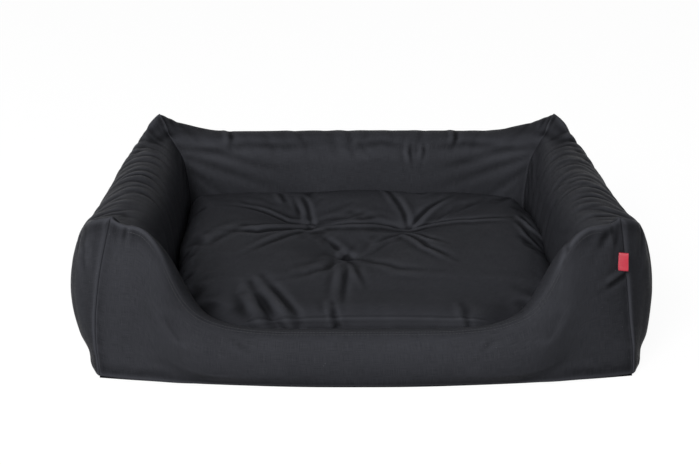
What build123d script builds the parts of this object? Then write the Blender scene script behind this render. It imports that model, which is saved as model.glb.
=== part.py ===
"""Dog sofa bed: four stuffed walls on a fabric base, a scooped front, and a loose tufted cushion.

Millimetres, +Z up, origin on the floor under the middle of the base. The scooped front faces -Y.
A point of a wall's section is (inward, up): inward is the distance in from the base's outer seam.
"""
import os
from math import sqrt

from build123d import *

# Driving sizes of the whole bed
base_width = 690.0
base_depth = 566.0
wall_height = 183.0
corner_height = 209.0
wall_foot_width = 70.5
side_bulge = 43.0
front_bulge = 37.0
rear_bulge = 34.4
sill_height = 73.0
fabric = 1.4
soft_gap = 0.8

# Walls: how the corner seams lean in, and where the feet meet the floor
corner_lean = 23.5
side_foot_bulge = 20.0
front_foot_bulge = 31.0
seam_gap = 0.6

# Base pad and the floor of the well
base_pad_thickness = 20.0
base_pad_corner_radius = 18.0
floor_clearance = 4.0

# Loose cushion: it fills the well and its front lies over the foot of the front wall
cushion_side_gap = 6.5
cushion_rear_gap = 20.5
cushion_front_inset = 33.0
cushion_height = 87.0
cushion_rest_gap = 0.3
cushion_flat_cut = 0.5
cushion_seam_height = 43.0
tuft_radius = 70.0
tuft_depth = 30.0
tie_radius = 1.2
tie_clearance = 0.4
tie_head_radius = 4.0
tie_head_thickness = 1.4
tie_dimple_radius = 11.0
tie_dimple_depth = 4.0

# Zips: one low on the back of the bed, one in the back of the cushion
bed_zip_margin = 85.0
zip_band_height = 29.0
cushion_zip_margin = 103.0
bed_zip_height = 20.0
cushion_zip_height = 33.0
bed_pull_length = 22.0
cushion_pull_length = 12.0
tape_width = 12.0
tape_thickness = 0.8
coil_width = 2.5
coil_thickness = 2.0
coil_gap = 1.0
stop_length = 3.0
stop_thickness = 2.4
slider_length = 12.0
slider_plate = 1.2
slider_flange = 0.9
slider_neck_length = 3.0
slider_neck_thickness = 0.4
running_gap = 0.3
bail_half_length = 3.4
bail_bar = 1.0
bail_opening = 2.0
bail_width = 1.6
pull_pin_radius = 0.6
pull_width = 7.0
pull_thickness = 1.2
pull_window_length = 5.2
pull_window_width = 3.2
pull_corner_radius = 2.0
pull_tip_hole_radius = 1.3

# Woven label in the right front corner seam
label_width = 13.0
label_height = 23.0
label_thickness = 1.2
label_middle_height = 155.0
label_seam_gap = 1.6

# One overrun serves every cut
overrun = 2.0

half_width = base_width / 2
half_depth = base_depth / 2
cushion_width = base_width - 2 * (wall_foot_width + cushion_side_gap)
cushion_rear = half_depth - wall_foot_width - cushion_rear_gap
cushion_front = half_depth - cushion_front_inset
bed_zip_length = base_width - 2 * bed_zip_margin
cushion_zip_length = cushion_width - 2 * cushion_zip_margin
pad_top = fabric + base_pad_thickness
well_floor = pad_top + fabric
cushion_bottom = well_floor + cushion_rest_gap
filling_inset = fabric + soft_gap
wall_rise = wall_height - fabric
corner_rise = corner_height - fabric

# Section shares of a wall's middle: (of the outward bulge, of the foot width, of the height)
middle_shares = [
    (0.0, 0.0, 0.0),
    (0.82, 0.0, 0.20),
    (1.00, 0.0, 0.47),
    (0.42, 0.0, 0.87),
    (0.0, 0.40, 1.00),
    (0.0, 0.92, 0.82),
    (0.0, 1.045, 0.52),
    (0.0, 1.00, 0.0),
]
# The same for the sill of the front, whose two panels meet in a thin topstitched edge
sill_shares = [
    (0.0, 0.0, 0.0),
    (0.97, 0.0, 0.20),
    (1.00, 0.0, 0.44),
    (0.84, 0.0, 0.80),
    (0.50, 0.0, 1.00),
    (0.0, 0.02, 0.82),
    (0.0, 0.58, 0.42),
    (0.0, 1.00, 0.0),
]
# The mitre at a corner: (of the lean, of the foot width beyond the lean, of the corner height)
mitre_shares = [
    (0.0, 0.0, 0.0),
    (0.0, 0.0, 0.18),
    (0.42, 0.0, 0.62),
    (1.00, 0.0, 1.00),
    (1.00, 0.50, 0.84),
    (1.00, 0.91, 0.65),
    (1.00, 1.00, 0.43),
    (1.00, 1.00, 0.0),
]
# Unit ways in which each section point moves when the section shrinks by one
middle_inset_shares = [
    (1.0, 0.0), (1.0, 0.0), (1.0, 0.0), (0.8, -0.6), (0.0, -1.0), (-0.85, -0.5), (-1.0, 0.0), (-1.0, 0.0),
]
sill_inset_shares = [
    (1.0, 0.0), (1.0, 0.0), (1.0, 0.0), (0.95, -0.4), (0.15, -1.35), (-0.75, -0.7), (-0.7, -0.7), (-1.1, 0.0),
]
mitre_inset_shares = [
    (1.0, 0.0), (1.0, 0.0), (1.0, -0.1), (1.0, -1.9), (-0.4, -0.9), (-0.8, -0.4), (-1.0, 0.0), (-1.0, 0.0),
]
# Stations of a wall from a corner to its middle: (share along the outer seam, share along the
# inner foot, how far the sides have swelled, how far the ear has sunk, drop to the sill). The rear
# wall has none in its middle stretch, which runs straight
rear_row_shares = [
    (0.90, 0.90, 0.52, 0.22, 0),
    (0.73, 0.75, 0.84, 0.60, 0),
    (0.56, 0.56, 1, 1, 0),
]
side_rear_row_shares = [
    (0.88, 0.88, 0.54, 0.28, 0),
    (0.66, 0.70, 0.86, 0.78, 0),
    (0.34, 0.36, 0.98, 1, 0),
    (0, 0, 1, 1, 0),
]
side_front_row_shares = [
    (0.88, 0.88, 0.76, 0.20, 0),
    (0.66, 0.70, 1, 0.60, 0),
    (0.34, 0.36, 1.03, 0.92, 0),
    (0, 0, 1, 1, 0),
]
front_row_shares = [
    (0.90, 0.93, 0.36, 0.30, 0),
    (0.795, 0.86, 0.58, 0.50, 0.12),
    (0.72, 0.78, 0.76, 0.70, 0.36),
    (0.655, 0.70, 0.88, 0.85, 0.66),
    (0.58, 0.61, 0.95, 0.95, 0.86),
    (0.47, 0.48, 0.99, 1, 0.97),
    (0.32, 0.32, 1, 1, 1),
    (0.16, 0.16, 1, 1, 1),
    (0, 0, 1, 1, 1),
]
# Stations of the cushion from rear to front: shares of the reach to the rear or front edge,
# of the half width, and of the height for the underside, the shoulder and the crown
cushion_station_shares = [
    (1.00, 0.92, 0.20, 0.56, 0.72),
    (0.95, 0.98, 0.04, 0.80, 0.95),
    (0.84, 0.995, 0.0, 0.88, 1.01),
    (0.50, 1.00, 0.0, 0.84, 1.00),
    (0.0, 1.00, 0.0, 0.80, 0.97),
    (-0.36, 1.00, 0.0, 0.72, 0.88),
    (-0.64, 0.985, 0.0, 0.60, 0.74),
    (-0.80, 0.92, 0.03, 0.50, 0.62),
    (-0.92, 0.76, 0.16, 0.44, 0.55),
    (-1.00, 0.60, 0.26, 0.46, 0.52),
]
cushion_shoulder_share = 0.93
cushion_foot_share = 0.965
tuft_shoulder_shares = (0.32, 0.58)
# Sewn tufts: shares of the half width and of the front reach, and of the height at the dimple's point
tuft_place_shares = [(-0.295, 0.288, 0.68), (0.258, 0.192, 0.67), (-0.093, -0.248, 0.63)]


def blended(first, second, share, up_share):
    """Points of two sections, mixed by one share across and by another one in height."""
    return [(u + (v - u) * share, z + (w - z) * up_share) for (u, z), (v, w) in zip(first, second)]


def bulged_points(shares, bulge, rise):
    """Section of a wall from its shares."""
    return [(foot * wall_foot_width - out * bulge, up * rise) for out, foot, up in shares]


def mitre_points():
    """Section where two walls meet: a pointed ear over an upright inner edge."""
    across = wall_foot_width - corner_lean
    return [(lean * corner_lean + foot * across, up * corner_rise) for lean, foot, up in mitre_shares]


def shrunk(points, directions, inset):
    """Section points moved inwards by the inset and set on the base panel."""
    moved = zip(points, directions)
    return [(u + inset * du, z + inset * dz + fabric) for (u, z), (du, dz) in moved]


def swept_edges(p):
    """The open run of a section: outer band, outer swell, rolled top and inner face."""
    Line(p[0], p[1])
    ThreePointArc(p[1], p[2], p[3])
    ThreePointArc(p[3], p[4], p[5])
    ThreePointArc(p[5], p[6], p[7])


def wall_stations(wall, end_gap):
    """Each station of a wall as (plane, stretch, points, directions), in a local frame.

    The wall runs along X and inward is -Y. The end stations lie in the mitre planes, and the
    next ones turn square to the wall.
    """
    half_length, half_span, bulge, foot_bulge, (first_row, last_row), band = wall
    corner = [(1, (half_length - wall_foot_width) / half_length, 0, 0, 0)]
    row = [(-outer, -inner, *rest) for outer, inner, *rest in corner + first_row]
    row += [station for station in reversed(corner + last_row) if station[0] > 0]
    stations = []
    for outer, inner, swell, sink, drop in row:
        out = foot_bulge * (1 - outer**2)
        middle = bulged_points(middle_shares, bulge, wall_rise)
        if band:
            middle[1] = (0.0, mitre_points()[1][1])
        points = blended(mitre_points(), middle, swell, sink)
        directions = blended(mitre_inset_shares, middle_inset_shares, swell, sink)
        points = blended(points, bulged_points(sill_shares, bulge, sill_height - fabric), drop, drop)
        directions = blended(directions, sill_inset_shares, drop, drop)
        points[0] = (-out, 0.0)
        start = outer * (half_length - (end_gap * sqrt(2) if abs(outer) == 1 else 0))
        along = Vector(half_length * (inner - outer), -wall_foot_width, 0)
        plane = Plane(origin=(start, half_span, 0), x_dir=along, z_dir=Vector(0, 0, -1).cross(along))
        stations.append((plane, along.length / wall_foot_width, points, directions))
    return stations


def cover_sections(wall):
    """Sections of a wall's fabric: one strip of cloth over the wall, open at the foot.

    Its outer side starts on the base, or on the zip band where the wall has one.
    """
    sections = []
    for plane, stretch, points, directions in wall_stations(wall, seam_gap / 2):
        outer = [(u * stretch, z) for u, z in shrunk(points, directions, 0)]
        inner = [(u * stretch, z) for u, z in shrunk(points, directions, fabric)]
        outer[0] = (outer[0][0], max(fabric, wall[-1]))
        inner[0] = (inner[0][0], max(fabric, wall[-1]))
        with BuildSketch(plane) as section:
            with BuildLine():
                swept_edges(outer)
                swept_edges(inner)
                Line(outer[0], inner[0])
                Line(outer[-1], inner[-1])
            make_face()
        sections.append(section.sketch)
    return sections


def filling_sections(wall):
    """Sections of a wall's stuffing, clear of its cover, of the base and of the zip."""
    sections = []
    for plane, stretch, points, directions in wall_stations(wall, seam_gap / 2 + soft_gap):
        outer = [(u * stretch, z) for u, z in shrunk(points, directions, filling_inset)]
        outer[-1] = (outer[-1][0], fabric + soft_gap)
        outer[0] = (outer[0][0], fabric + soft_gap)
        if wall[-1]:
            outer[:2] = [(zip_depth * stretch, z) for _, z in outer[:2]]
        with BuildSketch(plane) as section:
            with BuildLine():
                swept_edges(outer)
                Line(outer[-1], outer[0])
            make_face()
        sections.append(section.sketch)
    return sections


def cushion_sections(inset):
    """Upright sections of the cushion, from its rear to its front, shrunk by the inset.

    The underside starts a little low, and the floor of the well then cuts it flat.
    """
    sections = []
    for reach, width, low, shoulder, crown in cushion_station_shares:
        edge = (cushion_rear if reach > 0 else cushion_front) - inset
        half = width * cushion_width / 2 - inset
        bottom = cushion_bottom + low * cushion_height + inset - cushion_flat_cut
        side = cushion_bottom + shoulder * cushion_height - inset
        top = cushion_bottom + crown * cushion_height - inset
        middle = (bottom + side) / 2
        inner = half * cushion_shoulder_share
        foot = half * cushion_foot_share
        with BuildSketch(Plane.XZ.offset(-reach * edge)) as section:
            with BuildLine():
                Line((-foot, bottom), (foot, bottom))
                ThreePointArc((foot, bottom), (half, middle), (inner, side))
                ThreePointArc((inner, side), (0, top), (-inner, side))
                ThreePointArc((-inner, side), (-half, middle), (-foot, bottom))
            make_face()
        sections.append(section.sketch)
    return sections


def dimple_face(radius, depth, inset, tip, side):
    """Half profile of a sewn dimple, with its point at height tip. Side 1 opens up and -1 down."""
    near, rise = tuft_shoulder_shares
    foot = tie_head_radius + tie_clearance + inset
    start = tip - side * inset
    end = start + side * (depth + cushion_height)
    with BuildSketch(Plane.XZ) as dimple:
        with BuildLine():
            Line((0, start), (foot, start))
            ThreePointArc(
                (foot, start),
                (foot + near * radius, start + side * rise * depth),
                (foot + radius, start + side * depth),
            )
            Line((foot + radius, start + side * depth), (foot + radius, end))
            Line((foot + radius, end), (0, end))
            Line((0, end), (0, start))
        make_face()
    return dimple.sketch


def tufts(inset):
    """What the tufts take out of the cushion: a dimple over and under each tie, and the tie's hole."""
    with BuildPart(mode=Mode.PRIVATE) as dimple_pairs:
        for across, reach, rise in tuft_place_shares:
            place = Location((across * cushion_width / 2, reach * cushion_front, 0))
            top_tip = cushion_bottom + rise * cushion_height
            low_tip = cushion_bottom + tie_dimple_depth
            upper = dimple_face(tuft_radius, tuft_depth, inset, top_tip, 1)
            lower = dimple_face(tie_dimple_radius, tie_dimple_depth, inset, low_tip, -1)
            with Locations(place):
                add(revolve(upper, axis=Axis.Z, mode=Mode.PRIVATE))
                add(revolve(lower, axis=Axis.Z, mode=Mode.PRIVATE))
                Cylinder(tie_radius + tie_clearance, 2 * (cushion_bottom + cushion_height))
    return dimple_pairs.part


def save(part, name):
    """Writes one finished piece under its own name."""
    part.label = name
    export_step(part, f"parts/{name}.step")


os.makedirs("parts", exist_ok=True)

# Fabric base: its edges follow the feet of the walls
corners = [
    (-half_width, -half_depth),
    (half_width, -half_depth),
    (half_width, half_depth),
    (-half_width, half_depth),
]
front_foot = (0, -half_depth - front_foot_bulge)
side_foot = half_width + side_foot_bulge
with BuildPart() as base_cover:
    with BuildSketch():
        with BuildLine():
            ThreePointArc(corners[0], front_foot, corners[1])
            ThreePointArc(corners[1], (side_foot, 0), corners[2])
            Line(corners[2], corners[3])
            ThreePointArc(corners[3], (-side_foot, 0), corners[0])
        make_face()
    extrude(amount=fabric)
save(base_cover.part, "base_cover")

# Padded floor of the well between the walls
well_width = base_width - 2 * (wall_foot_width + floor_clearance)
well_depth = base_depth - 2 * (wall_foot_width + floor_clearance)
with BuildPart() as base_pad:
    with BuildSketch(Plane.XY.offset(fabric)):
        RectangleRounded(well_width, well_depth, base_pad_corner_radius)
    extrude(amount=base_pad_thickness)
save(base_pad.part, "base_pad")
with BuildPart() as well_floor_panel:
    with BuildSketch(Plane.XY.offset(pad_top)):
        RectangleRounded(well_width, well_depth, base_pad_corner_radius)
    extrude(amount=fabric)
save(well_floor_panel.part, "well_floor_panel")

# Zips, both facing the back: (length, face across the fabric, height, pull length)
zips = {
    "bed": (bed_zip_length, half_depth, bed_zip_height, bed_pull_length),
    "cushion": (cushion_zip_length, cushion_rear, cushion_bottom + cushion_zip_height, cushion_pull_length),
}
coil_reach = coil_gap / 2 + coil_width
tape_reach = coil_gap / 2 + tape_width
slider_reach = coil_reach + running_gap + slider_flange
slot_reach = slider_reach + running_gap
recess_reach = tape_reach + soft_gap
zip_depth = fabric + tape_thickness + slider_plate + 2 * running_gap


def zip_slot(zip_sizes):
    """The opening in the fabric that the zip's coils and slider stand in."""
    length, face, height, _ = zip_sizes
    with BuildPart(mode=Mode.PRIVATE) as slot:
        with BuildSketch(Plane.XZ.offset(-face - overrun)):
            with Locations((0, height)):
                Rectangle(length, 2 * slot_reach)
        extrude(amount=fabric + 2 * overrun)
    return slot.part


def zip_recess(zip_sizes):
    """Room in the stuffing for the tapes and for the slider's inner plate."""
    length, face, height, _ = zip_sizes
    with BuildPart(mode=Mode.PRIVATE) as recess:
        with BuildSketch(Plane.XZ.offset(-face - overrun)):
            with Locations((0, height)):
                Rectangle(length + 2 * soft_gap, 2 * recess_reach)
        extrude(amount=zip_depth + overrun)
    return recess.part


# Walls: each is a strip of cloth over a stuffed bolster, sewn down to the base
front_rows = (front_row_shares, front_row_shares)
rear_rows = (rear_row_shares, rear_row_shares)
side_rows = (side_front_row_shares, side_rear_row_shares)
side_wall = (half_depth, half_width, side_bulge, side_foot_bulge, side_rows, 0)
walls = {
    "front": (half_width, half_depth, front_bulge, front_foot_bulge, front_rows, 0),
    "rear": (half_width, half_depth, rear_bulge, 0, rear_rows, zip_band_height),
    "left": side_wall,
    "right": side_wall,
}
turns = {"front": 180, "rear": 0, "left": 90, "right": 90}
for name, wall in walls.items():
    with BuildPart() as wall_cover:
        loft(sections=cover_sections(wall), ruled=True)
    with BuildPart() as wall_filling:
        loft(sections=filling_sections(wall), ruled=True)
    for piece, kind in ((wall_cover.part, "cover"), (wall_filling.part, "filling")):
        placed = piece.rotate(Axis.Z, turns[name])
        save(placed.mirror(Plane.YZ) if name == "right" else placed, f"{name}_wall_{kind}")

# Straight band with the bed's zip in it, between the base and the rear wall's cloth
band_end = half_width - seam_gap / sqrt(2)
with BuildPart() as rear_zip_band:
    with BuildSketch(Plane.XY.offset(fabric)):
        with BuildLine():
            Polyline(
                (-band_end, half_depth),
                (band_end, half_depth),
                (band_end - fabric, half_depth - fabric),
                (fabric - band_end, half_depth - fabric),
                close=True,
            )
        make_face()
    extrude(amount=zip_band_height - fabric)
    add(zip_slot(zips["bed"]), mode=Mode.SUBTRACT)
save(rear_zip_band.part, "rear_zip_band")

# Loose cushion: two cloth panels over its stuffing
with BuildPart() as cushion_filling:
    loft(sections=cushion_sections(filling_inset), ruled=True)
    split(bisect_by=Plane.XY.offset(cushion_bottom + filling_inset), keep=Keep.TOP)
    add(tufts(filling_inset), mode=Mode.SUBTRACT)
    add(zip_recess(zips["cushion"]), mode=Mode.SUBTRACT)
save(cushion_filling.part, "cushion_filling")
with BuildPart() as cushion_hollow:
    loft(sections=cushion_sections(fabric), ruled=True)
    split(bisect_by=Plane.XY.offset(cushion_bottom + fabric), keep=Keep.TOP)
    add(tufts(fabric), mode=Mode.SUBTRACT)
with BuildPart() as cushion_cover:
    loft(sections=cushion_sections(0), ruled=True)
    split(bisect_by=Plane.XY.offset(cushion_bottom), keep=Keep.TOP)
    add(tufts(0), mode=Mode.SUBTRACT)
    add(cushion_hollow.part, mode=Mode.SUBTRACT)
    add(zip_slot(zips["cushion"]), mode=Mode.SUBTRACT)
seam_plane = Plane.XY.offset(cushion_bottom + cushion_seam_height)
for half, name in ((Keep.TOP, "cushion_top_panel"), (Keep.BOTTOM, "cushion_bottom_panel")):
    with BuildPart() as cushion_panel:
        add(cushion_cover.part)
        split(bisect_by=seam_plane, keep=half)
    save(cushion_panel.part, name)

# Tuft ties: a thread through the cushion at each tuft, with a knot at both ends
with BuildPart() as tuft_ties:
    for across, reach, rise in tuft_place_shares:
        low_tip = cushion_bottom + tie_dimple_depth
        top_tip = cushion_bottom + rise * cushion_height
        for foot, radius, height in (
            (low_tip - tie_head_thickness, tie_head_radius, tie_head_thickness),
            (low_tip, tie_radius, top_tip - low_tip),
            (top_tip, tie_head_radius, tie_head_thickness),
        ):
            with BuildSketch(Plane.XY.offset(foot)):
                with Locations((across * cushion_width / 2, reach * cushion_front)):
                    Circle(radius)
            extrude(amount=height)
save(tuft_ties.part, "tuft_ties")

# Zip pieces. X runs along a zip, Z across it and +Y out of the fabric
for name, (length, face, height, pull_length) in zips.items():
    tape_face = face - fabric
    plate_foot = tape_face + coil_thickness + running_gap
    inner_plate = tape_face - tape_thickness - running_gap - slider_plate
    plate_top = plate_foot + slider_plate
    coil_length = length - 2 * stop_length
    slider_middle = -coil_length / 2 + running_gap + slider_length / 2
    pin_height = plate_top + bail_opening / 2
    with BuildPart() as tapes:
        for foot in (height - tape_reach, height + coil_gap / 2):
            with BuildSketch(Plane.XY.offset(foot)):
                with Locations((0, tape_face - tape_thickness / 2)):
                    Rectangle(length, tape_thickness)
            extrude(amount=tape_width)
    save(tapes.part, f"{name}_zip_tapes")
    with BuildPart() as coils:
        for foot in (height - coil_reach, height + coil_gap / 2):
            with BuildSketch(Plane.XY.offset(foot)):
                with Locations((0, tape_face + coil_thickness / 2)):
                    Rectangle(coil_length, coil_thickness)
            extrude(amount=coil_width)
    save(coils.part, f"{name}_zip_coils")
    with BuildPart() as stops:
        with BuildSketch(Plane.XY.offset(height - coil_reach)):
            with Locations((0, tape_face + stop_thickness / 2)):
                with GridLocations(length - stop_length, 0, 2, 1):
                    Rectangle(stop_length, stop_thickness)
        extrude(amount=2 * coil_reach)
    save(stops.part, f"{name}_zip_stops")
    with BuildPart() as slider:
        with BuildSketch(Plane.XY.offset(height - slider_reach)):
            for plate in (inner_plate, plate_foot):
                with Locations((slider_middle, plate + slider_plate / 2)):
                    Rectangle(slider_length, slider_plate)
        extrude(amount=2 * slider_reach)
        for foot in (height - slider_reach, height + slider_reach - slider_flange):
            with BuildSketch(Plane.XY.offset(foot)):
                with Locations((slider_middle, (tape_face + running_gap + plate_foot) / 2)):
                    Rectangle(slider_length, plate_foot - tape_face - running_gap)
            extrude(amount=slider_flange)
        with BuildSketch(Plane.XY.offset(height - slider_neck_thickness / 2)):
            with Locations((slider_middle, (inner_plate + plate_foot) / 2 + slider_plate / 2)):
                Rectangle(slider_neck_length, plate_foot - inner_plate)
        extrude(amount=slider_neck_thickness)
        with BuildSketch(Plane.XY.offset(height - bail_width / 2)):
            with Locations((slider_middle, plate_top + (bail_opening + bail_bar) / 2)):
                Rectangle(2 * bail_half_length, bail_opening + bail_bar)
            with Locations((slider_middle, plate_top + bail_opening / 2)):
                Rectangle(2 * (bail_half_length - bail_bar), bail_opening, mode=Mode.SUBTRACT)
        extrude(amount=bail_width)
    save(slider.part, f"{name}_zip_slider")
    with BuildPart() as pull:
        with BuildSketch(Plane.XZ.offset(-pin_height - pull_thickness / 2)):
            with Locations((slider_middle + pull_length / 2, height)):
                RectangleRounded(pull_length, pull_width, pull_corner_radius)
            with Locations((slider_middle + pull_window_length / 2, height)):
                Rectangle(pull_window_length, pull_window_width, mode=Mode.SUBTRACT)
            with Locations((slider_middle + pull_length - pull_width / 2, height)):
                Circle(pull_tip_hole_radius, mode=Mode.SUBTRACT)
        extrude(amount=pull_thickness)
        with BuildSketch(Plane.XY.offset(height - pull_width / 2)):
            with Locations((slider_middle, pin_height)):
                Circle(pull_pin_radius)
        extrude(amount=pull_width)
    save(pull.part, f"{name}_zip_pull")

# Folded woven label, caught in the right front corner seam and left blank
(low_in, low_up), (peak_in, peak_up) = mitre_points()[2:4]
seam_slope = (peak_in - low_in) / (peak_up - low_up)
label_foot = label_middle_height - label_height / 2
label_in = low_in + seam_slope * (label_foot - fabric - low_up) - label_seam_gap
with BuildPart() as side_label:
    with BuildSketch(Plane.XY.offset(label_foot)):
        with Locations((half_width - label_in, -half_depth + label_in)):
            Rectangle(label_width, label_thickness, align=(Align.MIN, Align.MAX))
    extrude(amount=label_height, dir=(-seam_slope, seam_slope, 1))
save(side_label.part, "side_label")
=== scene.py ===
"""Dog sofa bed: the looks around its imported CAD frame.

Metres, +Z up, origin on the floor under the middle of the base, the scooped front facing -Y.
The four walls, the floor of the well and the loose cushion are stuffed cloth: each is a skin of
quads wrapped on its CAD solids, let swell as cloth, and then creased, seamed and stitched.
"""
import logging
import math
from collections.abc import Callable
from dataclasses import dataclass, field
from enum import Enum

import bmesh
import bpy
import numpy as np
from bpy.types import Material, Mesh, Node, NodeTree, Object
from mathutils import Euler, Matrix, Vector
from mathutils.bvhtree import BVHTree


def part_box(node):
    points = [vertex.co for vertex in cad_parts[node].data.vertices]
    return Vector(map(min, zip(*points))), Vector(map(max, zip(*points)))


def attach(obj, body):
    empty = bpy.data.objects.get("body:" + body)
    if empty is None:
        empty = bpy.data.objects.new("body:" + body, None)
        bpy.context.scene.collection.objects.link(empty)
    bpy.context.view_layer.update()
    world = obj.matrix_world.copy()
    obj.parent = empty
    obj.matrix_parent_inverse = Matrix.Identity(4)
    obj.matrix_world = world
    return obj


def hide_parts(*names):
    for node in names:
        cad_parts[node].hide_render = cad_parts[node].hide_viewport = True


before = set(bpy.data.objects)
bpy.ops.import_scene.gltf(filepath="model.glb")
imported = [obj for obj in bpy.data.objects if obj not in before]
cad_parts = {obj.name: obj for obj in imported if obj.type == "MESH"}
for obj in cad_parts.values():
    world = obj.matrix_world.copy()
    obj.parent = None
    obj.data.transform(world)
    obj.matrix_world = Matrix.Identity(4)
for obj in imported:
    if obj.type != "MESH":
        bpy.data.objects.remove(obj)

LOG = logging.getLogger("dog_sofa_bed")
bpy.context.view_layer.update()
MM = 0.001
FAR = 1.0
TINY = 1e-9
CLOTH_STEP = 5.0 * MM
PHOTO_SIZE = (699, 465)
SENSOR_WIDTH_MM = 36.0
UP = (0.0, 0.0, 1.0)
DOWN = (0.0, 0.0, -1.0)

Socket = bpy.types.NodeSocket
Rgb = tuple[float, float, float]
Point = tuple[float, float, float]
Pixel = tuple[float, float]


def set_all(thing: object, **settings: object) -> None:
    """Sets some attributes of a thing."""
    for name, value in settings.items():
        setattr(thing, name, value)


class Graph:
    """Adds nodes to a material's tree or to a node group, and links them."""

    def __init__(self, tree: NodeTree) -> None:
        """Keeps the tree that the nodes go into."""
        self.tree = tree

    def add(self, kind: str, inputs: dict | None = None, **settings: object) -> Node:
        """Adds a node.

        Args:
            kind: the node's type, such as "ShaderNodeBump".
            inputs: what goes into its sockets by name or number, each a value or another socket.
            settings: the node's own settings.

        Returns:
            The new node.
        """
        node = self.tree.nodes.new(kind)
        set_all(node, **settings)
        for name, value in (inputs or {}).items():
            if isinstance(value, Socket):
                self.tree.links.new(value, node.inputs[name])
            else:
                node.inputs[name].default_value = value
        return node

    def math(self, operation: str, first: float | Socket, second: float | Socket = 0.0) -> Socket:
        """Adds a Math node and returns its output."""
        return self.add("ShaderNodeMath", {0: first, 1: second}, operation=operation).outputs[0]

    def spread(self, value: Socket, low: float, high: float, start: float, end: float) -> Socket:
        """Maps a value from low..high to start..end, smoothly and clamped.

        Args:
            value: the socket to map.
            low: where the mapping starts.
            high: where it ends.
            start: the result at low.
            end: the result at high.

        Returns:
            The mapped socket.
        """
        inputs = {0: value, 1: low, 2: high, 3: start, 4: end}
        node = self.add("ShaderNodeMapRange", inputs, interpolation_type="SMOOTHSTEP")
        return node.outputs[0]

    def mixed(self, share: float | Socket, first: Rgb | Socket, second: Rgb | Socket) -> Socket:
        """Mixes two colours by a share.

        Args:
            share: 0 gives the first and 1 the second.
            first: a colour or a colour socket.
            second: a colour or a colour socket.

        Returns:
            The mixed colour's socket.
        """
        sides = [c if isinstance(c, Socket) else (*c, 1.0) for c in (first, second)]
        inputs = {0: share, 6: sides[0], 7: sides[1]}
        return self.add("ShaderNodeMix", inputs, data_type="RGBA").outputs[2]

    def group(self, name: str, build: Callable[[], NodeTree],
              inputs: dict[str, float]) -> Node:
        """Places a shared node group, which is built the first time that it is asked for.

        Args:
            name: the group's name.
            build: the function that builds it.
            inputs: the values for its inputs.

        Returns:
            The group's node in this tree.
        """
        return self.add("ShaderNodeGroup", inputs, node_tree=bpy.data.node_groups.get(name) or build())


def new_group(name: str, inputs: dict[str, float], outputs: tuple[str, ...]) -> tuple[Graph, dict, dict]:
    """Starts a shader node group of plain numbers.

    Args:
        name: the group's name.
        inputs: each input's name and its default value.
        outputs: the names of the outputs.

    Returns:
        The group's graph, its input sockets by name, and its output sockets by name.
    """
    tree = bpy.data.node_groups.new(name, "ShaderNodeTree")
    for label, value in inputs.items():
        socket = tree.interface.new_socket(label, in_out="INPUT", socket_type="NodeSocketFloat")
        socket.default_value = value
    for label in outputs:
        tree.interface.new_socket(label, in_out="OUTPUT", socket_type="NodeSocketFloat")
    graph = Graph(tree)
    given = graph.add("NodeGroupInput").outputs
    wanted = graph.add("NodeGroupOutput").inputs
    return graph, {n: given[n] for n in inputs}, {n: wanted[n] for n in outputs}


def new_material(name: str) -> tuple[Material, Graph]:
    """Starts a material.

    Args:
        name: the material's name.

    Returns:
        The material, and the graph of its empty tree.
    """
    material = bpy.data.materials.new(name)
    material.use_nodes = True
    material.node_tree.nodes.clear()
    return material, Graph(material.node_tree)


def lay_surface(graph: Graph, relief: float, height: Socket, inputs: dict) -> None:
    """Ends a material with its surface.

    Args:
        graph: the material's graph.
        relief: how deep its fine relief is.
        height: the relief's height, from 0 to 1.
        inputs: what goes into the surface's other sockets.
    """
    bump = graph.add("ShaderNodeBump", {"Strength": 0.6, "Distance": relief, "Height": height})
    surface = graph.add("ShaderNodeBsdfPrincipled", {**inputs, "Normal": bump.outputs[0]})
    graph.add("ShaderNodeOutputMaterial", {"Surface": surface.outputs[0]})


def shades(colour: Rgb, contrast: float) -> tuple[Rgb, Rgb]:
    """The deep and the pale shade of a colour, each a share of it away."""
    return tuple((1.0 - contrast) * c for c in colour), tuple((1.0 + contrast) * c for c in colour)


def weave_group() -> NodeTree:
    """Plain weave on the piece's own cloth coordinates: thread height and uneven thread tone.

    Returns:
        The group's tree.
    """
    graph, given, wanted = new_group("plain_weave", {"Pitch": 0.7 * MM, "Slub": 0.5}, ("Height", "Tone"))
    cloth = graph.add("ShaderNodeUVMap", uv_map="cloth").outputs[0]
    split = graph.add("ShaderNodeSeparateXYZ", {0: cloth}).outputs
    across, along = (graph.math("DIVIDE", split[axis], given["Pitch"]) for axis in (0, 1))
    warp, weft = (graph.math("ABSOLUTE", graph.math("SINE", graph.math("MULTIPLY", t, math.pi)))
                  for t in (across, along))
    cells = graph.math("ADD", graph.math("FLOOR", across), graph.math("FLOOR", along))
    over = graph.math("PINGPONG", cells, 1.0)
    lifted = graph.math("ADD", graph.math("MULTIPLY", warp, over),
                        graph.math("MULTIPLY", weft, graph.math("SUBTRACT", 1.0, over)))
    streaks = []
    along_thread, over_thread = 60.0, 2400.0
    for scale in ((along_thread, over_thread, 1.0), (over_thread, along_thread, 1.0)):
        stretched = graph.add("ShaderNodeMapping", {0: cloth, 3: scale}).outputs[0]
        streaks.append(graph.add("ShaderNodeTexNoise", {"Vector": stretched, "Scale": 1.0, "Detail": 1.0}))
    uneven = graph.math("ADD", streaks[0].outputs[0], streaks[1].outputs[0])
    tone = graph.math("MULTIPLY", graph.math("SUBTRACT", uneven, 1.0), given["Slub"])
    graph.tree.links.new(lifted, wanted["Height"])
    graph.tree.links.new(tone, wanted["Tone"])
    return graph.tree


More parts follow.
